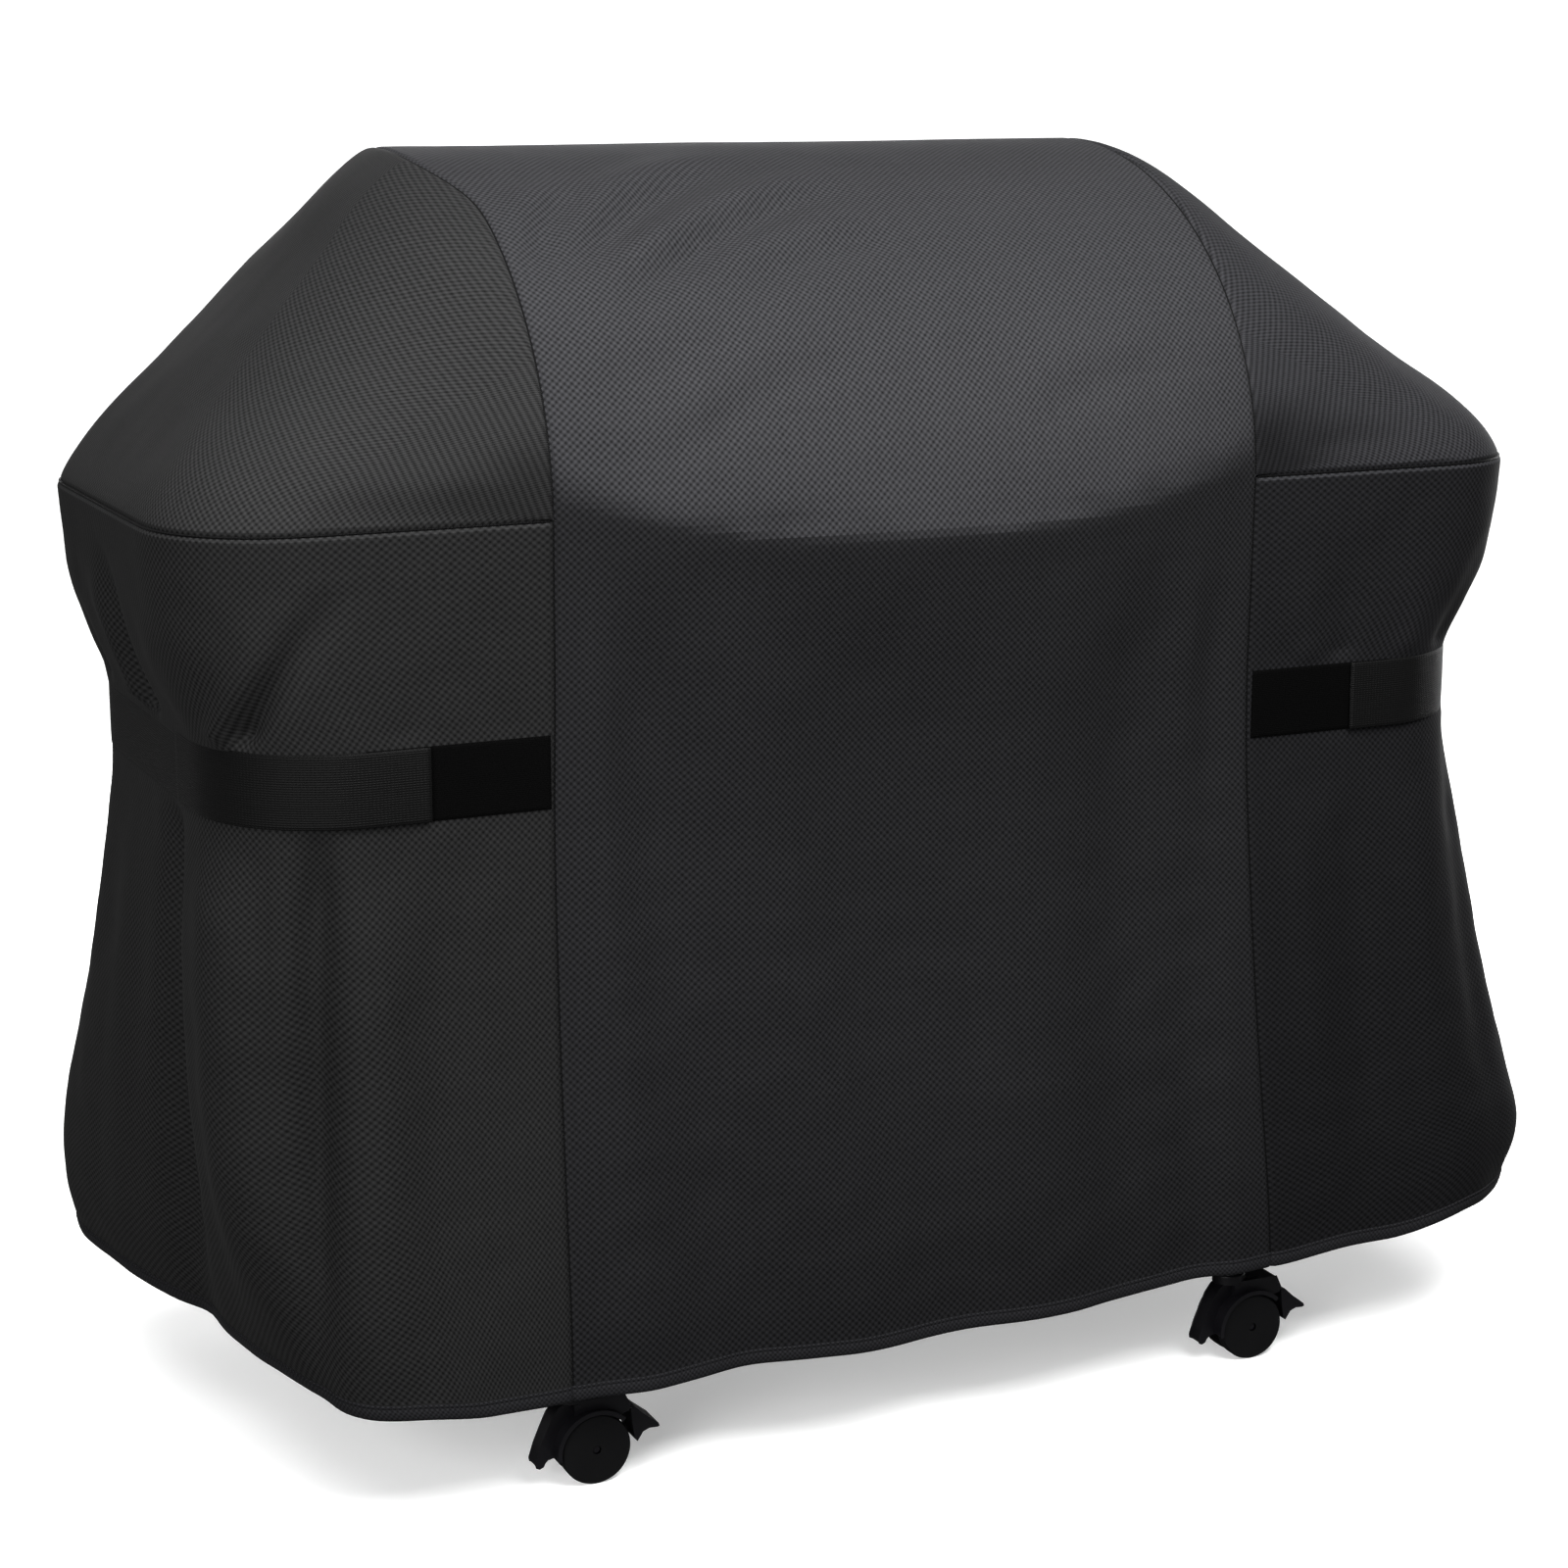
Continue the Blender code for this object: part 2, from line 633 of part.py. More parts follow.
def side_table(side):
    """A side table with two rounded outer corners."""
    near, far = SIDE_TABLE_X
    front, back = SIDE_TABLE_Y
    r = SIDE_TABLE_ROUND
    outline = [(near, front)]
    for i in range(CORNER_STEPS + 1):
        angle = math.pi / 2 * (i / CORNER_STEPS - 1)
        outline.append((far - r + r * math.cos(angle), front + r + r * math.sin(angle)))
    for i in range(CORNER_STEPS + 1):
        angle = math.pi / 2 * i / CORNER_STEPS
        outline.append((far - r + r * math.cos(angle), back - r + r * math.sin(angle)))
    outline.append((near, back))
    outline = [(SIDES[side] * x, y) for x, y in outline]
    add_object("side_table_" + side, prism(outline, *SIDE_TABLE_Z, 2), STEEL_COLOUR, 0.5, 0.6, smooth=False)


def hood_line(depth):
    """The hood's YZ line, a given depth under the cloth, from its front foot to its back foot."""
    angles = [0.0] + dome_angles() + [math.pi]
    line = []
    for angle in angles:
        y, z = dome_point(angle)
        point = Vector((0, y, z)) - dome_normal(angle) * depth
        line.append(point)
    line[0].z = line[-1].z = HOOD_FOOT_Z
    return line


def hood():
    """The lid that holds the dome up: a bent sheet and its two end plates."""
    outer, under = hood_line(HOOD_CLEAR), hood_line(HOOD_CLEAR + HOOD_THICK)
    ends = (-HOOD_HALF, HOOD_HALF)
    grid = [[Vector((x, p.y, p.z)) for x in ends] for p in outer]
    inner = [[Vector((x, p.y, p.z)) for x in ends] for p in under]
    add_object("lid_hood", shell(grid, inner), STEEL_COLOUR, 0.45, 0.6)
    outline = [(p.y, p.z) for p in hood_line(HOOD_CLEAR + HOOD_THICK + FIT)]
    for side, sign in SIDES.items():
        faces = sorted((sign * (HOOD_HALF - HOOD_THICK), sign * HOOD_HALF))
        add_object("lid_end_" + side, prism(outline, *faces, 0), STEEL_COLOUR, 0.45, 0.6, smooth=False)


# ---------------------------------------------------------------- casters

PLASTIC_COLOUR = (0.012, 0.011, 0.013)


def place(obj, parent, location=(0, 0, 0)):
    obj.parent = parent
    obj.location = location
    return obj


def arc(radius, start, end, steps):
    return [(radius * math.cos(start + (end - start) * i / steps),
             radius * math.sin(start + (end - start) * i / steps)) for i in range(steps + 1)]


def housing(name, swivel):
    """The hooded housing: an arched block over the wheels, a web between them and a neck for the stem."""
    wall = [(-0.0555, -0.0205), (-0.0575, -0.0255), (-0.0685, -0.0255), (-0.0700, -0.0235),
            (-0.0475, HOUSING_TOP), (0.0305, HOUSING_TOP), (0.0360, 0.0375), (0.0345, 0.0330)]
    arch = arc(ARCH_R, ARCH_START, ARCH_END, 16)
    obj = add_object(name, prism(arch + [(-0.0440, -0.0185)] + wall, -HOUSING_HALF, HOUSING_HALF, 1),
                     PLASTIC_COLOUR, 0.42)
    obj.parent = swivel
    obj.location = (TRAIL, 0, WHEEL_R)
    web_outline = arc(ARCH_R + 0.003, ARCH_START + 0.05, ARCH_END - 0.05, 12)
    web_outline += arc(WEB_FOOT_R, math.pi, 1.9 * math.pi, 8)
    combine(obj, prism(web_outline, -WEB_HALF, WEB_HALF, 1), "UNION")
    neck = cylinder(NECK_R, HOUSING_TOP - 0.002, NECK_TOP - WHEEL_R)
    bmesh.ops.translate(neck, verts=neck.verts, vec=(-TRAIL, 0, 0))
    combine(obj, neck, "UNION")
    combine(obj, turned([(0, -HOUSING_HALF), (BORE_R, -HOUSING_HALF), (BORE_R, HOUSING_HALF),
                         (0, HOUSING_HALF)], ROUND_SEGMENTS, "Y"), "DIFFERENCE")


def wheel(name, axle, sign):
    """One wheel: rounded tread, dished hub face and a bore for the axle."""
    near = WEB_HALF + FIT
    far = near + WHEEL_WIDTH
    profile = [(BORE_R, near), (WHEEL_R - 0.002, near), (WHEEL_R, near + 0.002), (WHEEL_R, far - 0.003),
               (WHEEL_R - 0.003, far), (HUB_R + 0.003, far), (HUB_R, far - 0.002), (BORE_R, far - 0.001)]
    bm = turned([(r, -sign * h) for r, h in profile], WHEEL_SEGMENTS, "Y")
    add_object(name, bm, PLASTIC_COLOUR, 0.4).parent = axle


def pedal(name, pivot):
    """The brake pedal: a ribbed lip that sticks out behind the hood."""
    outline = [(-0.0030, 0.0050), (0.0020, 0.0050), (0.0110, -0.0035), (0.0255, -0.0150), (0.0266, -0.0180),
               (0.0245, -0.0190), (0.0160, -0.0185), (0.0095, -0.0210), (0.0035, -0.0300), (0.0008, -0.0270),
               (-0.0005, -0.0180), (-0.0020, -0.0060)]
    add_object(name, prism(outline, -PEDAL_HALF, PEDAL_HALF, 1), PLASTIC_COLOUR, 0.45).parent = pivot


def caster(end, side):
    """A twin-wheel swivel caster; the front ones have a brake pedal."""
    where = end + "_" + side
    x, y = SIDES[side] * CASTER_X, CASTER_Y[end]
    stem_top = SHELF_Z[0] - FIT
    stem_low = NECK_TOP + FIT
    stem = turned([(0, stem_low), (STEM_R, stem_low), (STEM_R, stem_top - STEM_COLLAR),
                   (STEM_COLLAR_R, stem_top - STEM_COLLAR), (STEM_COLLAR_R, stem_top), (0, stem_top)],
                  ROUND_SEGMENTS)
    add_object("caster_stem_" + where, stem, (0.55, 0.55, 0.56), 0.3, 1.0).location = (x, y, 0)
    swivel = bpy.data.objects.new("swivel_" + where, None)
    swivel.location = (x, y, 0)
    bpy.context.scene.collection.objects.link(swivel)
    housing("caster_housing_" + where, swivel)
    axle = turned([(0, -0.0195), (AXLE_R, -0.0195), (AXLE_R, 0.0195), (0, 0.0195)], 12, "Y")
    axle = add_object("caster_axle_" + where, axle, (0.55, 0.55, 0.56), 0.3, 1.0)
    place(axle, swivel, (TRAIL, 0, WHEEL_R))
    wheel("caster_wheel_outer_" + where, axle, 1)
    wheel("caster_wheel_inner_" + where, axle, -1)
    if end == "front":
        pivot = bpy.data.objects.new("pedal_pivot_" + where, None)
        bpy.context.scene.collection.objects.link(pivot)
        place(pivot, swivel, (TRAIL + PEDAL_PIVOT[0], 0, WHEEL_R + PEDAL_PIVOT[1]))
        pedal("brake_pedal_" + where, pivot)


# ---------------------------------------------------------------- the whole part

def main():
    clear_scene()
    centre_panel()
    hem_binding()
    for side in SIDES:
        skirt(side)
        shoulder_panel(side)
        centre_seam(side)
        shoulder_seam(side)
        strap_webbing(side)
        strap_front_pieces(side)
        side_table(side)
    bottom_shelf()
    posts()
    top_rails()
    hood()
    for end in CASTER_Y:
        for side in SIDES:
            caster(end, side)


main()
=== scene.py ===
"""Looks of the fitted grill cover: cloth panels with their weave, folds and seams, a bound hem,
hook-and-loop straps, the steel stand inside and twin-wheel casters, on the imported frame.

Metres, +Z up, front towards -Y. On the sides X counts away from the middle; the left is mirrored.
"""
import math

import bpy
import numpy as np
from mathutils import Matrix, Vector, noise


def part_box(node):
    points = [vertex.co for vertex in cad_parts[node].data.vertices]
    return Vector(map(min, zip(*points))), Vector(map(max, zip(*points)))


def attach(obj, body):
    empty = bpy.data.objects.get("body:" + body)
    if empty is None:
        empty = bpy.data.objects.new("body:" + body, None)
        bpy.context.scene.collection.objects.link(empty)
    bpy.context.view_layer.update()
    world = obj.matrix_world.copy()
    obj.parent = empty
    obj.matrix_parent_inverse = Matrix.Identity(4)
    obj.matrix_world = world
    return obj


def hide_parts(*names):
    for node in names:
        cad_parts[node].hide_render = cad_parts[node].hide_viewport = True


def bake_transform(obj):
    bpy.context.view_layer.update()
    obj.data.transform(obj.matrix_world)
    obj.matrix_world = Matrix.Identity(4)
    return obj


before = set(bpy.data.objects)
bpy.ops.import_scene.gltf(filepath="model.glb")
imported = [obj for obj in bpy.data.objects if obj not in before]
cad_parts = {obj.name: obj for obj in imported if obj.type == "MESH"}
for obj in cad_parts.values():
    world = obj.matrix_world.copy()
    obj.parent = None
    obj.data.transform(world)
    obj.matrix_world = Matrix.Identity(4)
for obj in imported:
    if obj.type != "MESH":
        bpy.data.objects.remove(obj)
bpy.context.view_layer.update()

SIDES = {"left": -1, "right": 1}

# ---------------------------------------------------------------- sizes

HEM_Z = 0.105
BINDING_HEIGHT = 0.0135
STRAP_LOW, STRAP_HIGH = 0.6595, 0.7285
SHOULDER_Z = 0.924
RIDGE_Z = 1.244
RIDGE_Y = 0.0886
CENTRE_HALF = 0.370
CENTRE_HALF_HEM = 0.384
WAIST_HIGH = 0.736
BACK_CORNER = 0.120

# Plan outline at each height: front and back of both sides
DEPTHS = {
    HEM_Z: (-0.356, 0.345), 0.160: (-0.352, 0.344), 0.280: (-0.337, 0.33), 0.400: (-0.321, 0.303),
    0.520: (-0.308, 0.28), 0.652: (-0.298, 0.262), 0.736: (-0.298, 0.262), 0.772: (-0.299, 0.262),
    0.812: (-0.3, 0.263), 0.872: (-0.301, 0.264), SHOULDER_Z: (-0.302, 0.264),
}
# Half width, front corner radius, toe-in at the front
WIDTHS = {
    "left": {
        HEM_Z: (0.718, 0.12, 0.1), 0.160: (0.73, 0.13, 0.092), 0.280: (0.728, 0.14, 0.06),
        0.400: (0.711, 0.145, 0.03), 0.520: (0.693, 0.13, 0.01), 0.652: (0.675, 0.12, 0.0),
        0.736: (0.679, 0.12, 0.0), 0.772: (0.693, 0.12, 0.0), 0.812: (0.707, 0.12, 0.0),
        0.872: (0.714, 0.12, 0.0), SHOULDER_Z: (0.717, 0.12, 0.0),
    },
    "right": {
        HEM_Z: (0.752, 0.15, 0.01), 0.160: (0.764, 0.15, 0.0), 0.280: (0.748, 0.145, 0.0),
        0.400: (0.721, 0.14, 0.0), 0.520: (0.696, 0.13, 0.0), 0.652: (0.668, 0.12, 0.0),
        0.736: (0.669, 0.12, 0.0), 0.772: (0.69, 0.12, 0.0), 0.812: (0.71, 0.12, 0.0),
        0.872: (0.722, 0.12, 0.0), SHOULDER_Z: (0.726, 0.12, 0.0),
    },
}

# The lid's front edge under the centre panel
LID_EDGE_REACH = 0.052
LID_EDGE_Z = 0.942
LID_EDGE_BOW = 0.048

# Shoulder panels
RIDGE_END_ROUND = {"left": 0.055, "right": 0.040}
LID_END_ROUND = 0.012
RIDGE_FLARE = {"left": 0.032, "right": 0.0}
SHOULDER_ROUND = 0.036
SHOULDER_LEAN = 0.012     # how far that rounding leans in
SHOULDER_SAG = {"left": -0.003, "right": 0.011}

CLOTH_THICK = 0.0009
SEAM_DIP = 0.0024         # how deep a seam pulls the cloth in, and the half width of that dip
SEAM_DIP_WIDTH = 0.0026
HEM_LIFT_FADE = 0.25      # height over which a raised hem fades out
WRINKLE_DEPTH = 1.7       # times the depths in WRINKLES
HANGING_DEPTH = 1.8       # times the depths in HANGING


def spread(count, near=(), far=(), length=1.0):
    """Even steps from 0 to 1, with extra ones at given distances from each end of a length."""
    steps = list(np.linspace(0.0, 1.0, count + 1))
    steps += [d / length for d in near] + [1.0 - d / length for d in far]
    return np.array(sorted(set(round(float(s), 6) for s in steps)))


SEAM_STEPS = (0.0012, 0.0024, 0.004, 0.006)
T_FRONT = spread(26, near=SEAM_STEPS, length=0.19)
T_CORNER = spread(26)
T_SIDE = spread(40)
T_BACK_CORNER = spread(22)
T_BACK = spread(26, far=SEAM_STEPS, length=0.19)
T_CENTRE = spread(92, near=SEAM_STEPS, far=SEAM_STEPS, length=0.74)
T_RISE = spread(44, near=SEAM_STEPS, far=SEAM_STEPS, length=0.42)
LEVELS = HEM_Z + (SHOULDER_Z - HEM_Z) * spread(112, near=(0.0015, 0.0135, 0.015), far=SEAM_STEPS,
                                              length=SHOULDER_Z - HEM_Z)


# ---------------------------------------------------------------- smooth tables and relief

def interpolate(table, heights):
    """Rows of values at the given heights, on smooth curves through the table's rows."""
    keys = np.array(sorted(table))
    rows = np.array([table[k] for k in keys])
    slopes = np.gradient(rows, keys, axis=0)
    heights = np.clip(np.asarray(heights, float), keys[0], keys[-1])
    index = np.clip(np.searchsorted(keys, heights, side="right") - 1, 0, len(keys) - 2)
    span = (keys[index + 1] - keys[index])[:, None]
    t = (heights - keys[index])[:, None] / span
    start, end = rows[index], rows[index + 1]
    return (start * (2 * t**3 - 3 * t**2 + 1) + end * (3 * t**2 - 2 * t**3)
            + slopes[index] * span * (t**3 - 2 * t**2 + t) + slopes[index + 1] * span * (t**3 - t**2))


def centre_half(heights):
    down = np.clip((WAIST_HIGH - np.asarray(heights, float)) / (WAIST_HIGH - HEM_Z), 0.0, None)
    return CENTRE_HALF + (CENTRE_HALF_HEM - CENTRE_HALF) * down


def ridge_flare(side, heights):
    """How much wider the centre panel is where it crosses the ridge."""
    return RIDGE_FLARE[side] * ease(np.asarray(heights, float), 1.175, RIDGE_Z)**2


def bell(values, width):
    return np.exp(-(values / width)**2)


def ease(values, low, high):
    """0 below low, 1 above high, smooth between."""
    t = np.clip((values - low) / (high - low), 0.0, 1.0)
    return t * t * (3 - 2 * t)


def ripple(points, scale, seed):
    """Smooth noise from -1 to 1 at each point of an array [..., 3]."""
    flat = points.reshape(-1, 3) * scale + seed
    return np.array([noise.noise(Vector(p)) for p in flat]).reshape(points.shape[:-1])


# Folds of each skirt: distance round from the front seam at the waist and at the hem, width there,
# depth (negative pulls in), lowest and highest reach
FOLDS = {
    "left": [
        (0.222, 0.255, 0.018, 0.030, -0.036, 0.10, 0.68), (0.330, 0.350, 0.036, 0.050, 0.016, 0.10, 0.66),
        (0.455, 0.500, 0.026, 0.040, -0.042, 0.10, 0.68), (0.170, 0.185, 0.024, 0.032, 0.010, 0.10, 0.62),
        (0.110, 0.115, 0.020, 0.030, -0.004, 0.10, 0.62), (0.600, 0.640, 0.035, 0.050, 0.008, 0.10, 0.62),
        (0.740, 0.800, 0.035, 0.050, -0.008, 0.10, 0.62), (0.275, 0.290, 0.012, 0.018, -0.004, 0.30, 0.66)],
    "right": [
        (0.060, 0.075, 0.016, 0.028, 0.005, 0.10, 0.62), (0.120, 0.130, 0.018, 0.032, -0.006, 0.10, 0.64),
        (0.200, 0.225, 0.022, 0.036, 0.006, 0.10, 0.62), (0.275, 0.310, 0.020, 0.036, -0.008, 0.10, 0.64),
        (0.420, 0.470, 0.035, 0.050, 0.009, 0.10, 0.62), (0.560, 0.600, 0.034, 0.050, -0.010, 0.10, 0.62),
        (0.720, 0.770, 0.035, 0.050, 0.008, 0.10, 0.60)],
}
# Pleats that the strap gathers above it: distance at the strap and at the top, width, depth, top height
PLEATS = {
    "left": [(0.300, 0.205, 0.012, -0.022, 0.880), (0.325, 0.245, 0.015, 0.012, 0.87),
             (0.500, 0.585, 0.014, -0.024, 0.895), (0.535, 0.630, 0.017, 0.012, 0.88),
             (0.150, 0.120, 0.016, -0.003, 0.80), (0.690, 0.740, 0.016, -0.008, 0.84)],
    "right": [(0.070, 0.060, 0.014, 0.004, 0.88), (0.110, 0.120, 0.013, -0.005, 0.86),
              (0.190, 0.210, 0.015, 0.004, 0.86), (0.250, 0.300, 0.015, -0.007, 0.85),
              (0.480, 0.520, 0.018, -0.009, 0.84), (0.660, 0.640, 0.018, -0.008, 0.84)],
}


def skirt_relief(side, around, points):
    """How far the skirt stands out from its plain outline, from the distance round and the points."""
    height = points[..., 2]
    relief = np.zeros_like(around)
    down = np.clip((STRAP_LOW - height) / (STRAP_LOW - HEM_Z), 0.0, 1.0)
    for at_waist, at_hem, waist_width, hem_width, depth, low, high in FOLDS[side]:
        place = at_waist + (at_hem - at_waist) * down
        width = waist_width + (hem_width - waist_width) * down
        to_hem = 1.0 - 0.72 * ease(down, 0.55, 1.0)
        strength = ease(high - height, 0.0, 0.10) * (0.55 + 0.45 * down) * to_hem
        relief += depth * strength * bell(around - place, width)
    for at_strap, at_top, width, depth, top in PLEATS[side]:
        up = np.clip((height - STRAP_HIGH) / (top - STRAP_HIGH), 0.0, 1.0)
        place = at_strap + (at_top - at_strap) * up
        strength = (1.0 - up)**0.8 * ease(height, STRAP_HIGH - 0.004, STRAP_HIGH + 0.012)
        relief += depth * strength * bell(around - place, width * (1.0 + 1.2 * up))
    loose = ease(STRAP_LOW - height, 0.0, 0.12) + 0.6 * ease(height, STRAP_HIGH, STRAP_HIGH + 0.05)
    stretched = points * np.array((1.0, 1.0, 0.28))
    relief += 0.0042 * loose * ripple(stretched, 9.0, 3.1) + 0.0012 * ripple(points, 26.0, 7.7)
    shoulder = ease(SHOULDER_Z - height, 0.0, 0.05)
    free = np.maximum(ease(STRAP_LOW - height, -0.002, 0.012), ease(height - STRAP_HIGH, -0.002, 0.012))
    return relief * shoulder * free


def hem_rise(side, around):
    """How far the hem hangs above its lowest height, from the distance round."""
    to_back = 1.0 - ease(around, around[:, -1:] - 0.35, around[:, -1:] - 0.05)
    if side == "left":
        return to_back * (0.007 * ease(around, 0.08, 0.15) + 0.010 * ease(around, 0.22, 0.34))
    return 0.010 + to_back * (0.008 * ease(around, 0.0, 0.10) + 0.016 * ease(around, 0.14, 0.26))


def lifted(points, rise):
    """The rows moved up by that much at the hem, fading out above it."""
    share = 1.0 - ease(points[..., 2], HEM_Z, HEM_Z + HEM_LIFT_FADE)
    points[..., 2] += rise * share
    return points


def seam_dip(distance):
    return -SEAM_DIP * bell(distance, SEAM_DIP_WIDTH)


def at_seams(distance):
    """The dip of the cloth at a seam, and the fade of its relief next to it."""
    return seam_dip(distance), 1.0 - bell(distance, 0.030)


def skirt_rows(levels, side):
    """One side at each level, from the front seam to the back one: points and outward directions
    [level, column, xyz], and the distances round."""
    half, radius, toe = (v[:, None] for v in interpolate(WIDTHS[side], levels).T)
    front, back = (v[:, None] for v in interpolate(DEPTHS, levels).T)
    seam_x = centre_half(levels)[:, None]
    levels = np.asarray(levels, float)[:, None]
    front_half = half - toe
    ones = np.ones_like(levels)
    run = [(seam_x + (front_half - radius - seam_x) * T_FRONT, front * np.ones_like(T_FRONT))]
    turn = -math.pi / 2 + math.pi / 2 * T_CORNER[1:]
    run.append((front_half - radius + radius * np.cos(turn), front + radius + radius * np.sin(turn)))
    run.append((front_half + toe * T_SIDE[1:],
                front + radius + (back - BACK_CORNER - front - radius) * T_SIDE[1:]))
    turn = math.pi / 2 * T_BACK_CORNER[1:]
    inner_x, inner_y = half - BACK_CORNER, back - BACK_CORNER
    run.append((inner_x + BACK_CORNER * np.cos(turn), inner_y + BACK_CORNER * np.sin(turn)))
    run.append((inner_x + (seam_x - inner_x) * T_BACK[1:], back * np.ones_like(T_BACK[1:])))
    x = np.concatenate([ones * a for a, _ in run], axis=1)
    y = np.concatenate([ones * b for _, b in run], axis=1)
    points = np.stack([x, y, np.broadcast_to(levels, x.shape)], axis=2)
    points[:, 1:-1] = smoothed(points)[:, 1:-1]
    step = np.linalg.norm(np.diff(points, axis=1), axis=2)
    around = np.concatenate([np.zeros((len(points), 1)), np.cumsum(step, axis=1)], axis=1)
    tangent = np.gradient(points, axis=1)
    tangent /= np.linalg.norm(tangent, axis=2, keepdims=True)
    outward = np.stack([tangent[..., 1], -tangent[..., 0], np.zeros_like(x)], axis=2)
    dip_front, fade_front = at_seams(around)
    dip_back, fade_back = at_seams(around[:, -1:] - around)
    relief = skirt_relief(side, around, points) * fade_front * fade_back
    relief += np.minimum(np.minimum(dip_front, dip_back), seam_dip(SHOULDER_Z - levels))
    points = lifted(points + outward * relief[..., None], hem_rise(side, around))
    flip = np.array((SIDES[side], 1.0, 1.0))
    return points * flip, outward * flip, around


def smoothed(points, times=10):
    """The same rows with their corners eased; the ends stay."""
    result = points.copy()
    for _ in range(times):
        result[:, 4:-4] = (result[:, 3:-5] + 2 * result[:, 4:-4] + result[:, 5:-3]) / 4
    return result


def lid_edge_push(ratio, height):
    """How far the lid's bowed front edge pushes the centre panel forward."""
    across = 1.0 - np.abs(ratio)**2.2
    fold = LID_EDGE_Z - LID_EDGE_BOW * (1.0 - np.abs(ratio)**2.8)
    above = np.clip(1.0 - np.sqrt(np.clip(height - fold, 0, None)**2 + 0.00002) / 0.25, 0.0, 1.0)**1.25
    below = np.clip(1.0 - np.sqrt(np.clip(fold - height, 0, None)**2 + 0.00002) / 0.50, 0.0, 1.0)**2.6
    return LID_EDGE_REACH * across * np.where(height >= fold, above, below)


# Slack wrinkles over the lid, most left of the middle: start and end (across, up the lid), depth, width
WRINKLES = [
    (-0.314, 0.244, -0.067, 0.445, 0.0070, 0.026), (-0.275, 0.204, 0.034, 0.384, 0.0062, 0.022),
    (-0.330, 0.108, -0.095, 0.180, 0.0014, 0.026), (-0.285, 0.039, 0.010, 0.171, 0.0019, 0.022),
    (-0.366, 0.225, -0.245, 0.380, 0.0060, 0.024), (-0.180, 0.200, 0.060, 0.290, 0.0030, 0.022),
    (-0.210, 0.105, 0.080, 0.225, 0.0014, 0.024), (0.100, 0.070, 0.300, 0.120, 0.0014, 0.024),
]


def wrinkle_relief(across, up):
    relief = np.zeros_like(across)
    for x0, g0, x1, g1, depth, width in WRINKLES:
        length = math.hypot(x1 - x0, g1 - g0)
        dx, dg = (x1 - x0) / length, (g1 - g0) / length
        along = ((across - x0) * dx + (up - g0) * dg) / length
        off = (across - x0) * -dg + (up - g0) * dx - 0.010 * np.sin(math.pi * np.clip(along, 0, 1))
        ends = ease(along, -0.06, 0.30) * ease(1.0 - along, -0.06, 0.35)
        bulge = 0.8 * bell(off - width * 1.3, width) - bell(off, width * 0.8)
        relief += WRINKLE_DEPTH * depth * ends * bulge
    return relief


# Soft hanging folds of the centre panel below the lid's edge: across at the top and hem, width, depth
HANGING = [(-0.30, -0.20, 0.026, 0.050, -0.0060), (-0.345, -0.31, 0.020, 0.040, 0.0040),
           (-0.22, -0.07, 0.040, 0.060, 0.0040), (-0.08, 0.02, 0.060, 0.080, -0.0035),
           (0.12, 0.13, 0.060, 0.080, 0.0035), (0.24, 0.21, 0.040, 0.060, -0.0045),
           (0.33, 0.30, 0.024, 0.045, -0.0050), (0.29, 0.345, 0.022, 0.036, 0.0035)]


def front_relief(x, height, points, up):
    relief = np.zeros_like(x)
    down = np.clip((0.90 - height) / (0.90 - HEM_Z), 0.0, 1.0)
    for at_top, at_hem, top_width, hem_width, depth in HANGING:
        place = at_top + (at_hem - at_top) * down
        width = top_width + (hem_width - top_width) * down
        relief += HANGING_DEPTH * depth * ease(down, 0.02, 0.20) * bell(x - place, width)
    stretched = points * np.array((1.0, 1.0, 0.35))
    relief += 0.0030 * ease(0.92 - height, 0.0, 0.15) * ripple(stretched, 7.0, 12.3)
    relief += 0.0010 * ripple(points, 24.0, 5.5)
    return relief + wrinkle_relief(x, up)


def lid_angles():
    """The lid line's angle at each column of the shoulder seam: 0 at the front, pi at the back."""
    start, end = math.radians(26), math.radians(76)
    front = start * T_FRONT
    corner = start + (end - start) * T_CORNER[1:]
    side = end + (math.pi - 2 * end) * T_SIDE[1:]
    back_corner = math.pi - end + (end - start) * T_BACK_CORNER[1:]
    back = math.pi - start + start * T_BACK[1:]
    return np.concatenate([front, corner, side, back_corner, back])


def lid_line(angles):
    """Points (y, z) and outward normals of the lid line at the centre seams."""
    front, back = interpolate(DEPTHS, [SHOULDER_Z])[0]
    reach = np.where(angles < math.pi / 2, RIDGE_Y - front, back - RIDGE_Y)
    rise = RIDGE_Z - SHOULDER_Z
    line = np.stack([RIDGE_Y - reach * np.cos(angles), SHOULDER_Z + rise * np.sin(angles)], axis=1)
    normal = np.stack([-np.cos(angles) / reach, np.sin(angles) / rise], axis=1)
    return line, normal / np.linalg.norm(normal, axis=1, keepdims=True)


def down_rows(values, shape):
    return np.broadcast_to(values[:, None], shape)


def along_columns(values, shape):
    return np.broadcast_to(values[None, :], shape)


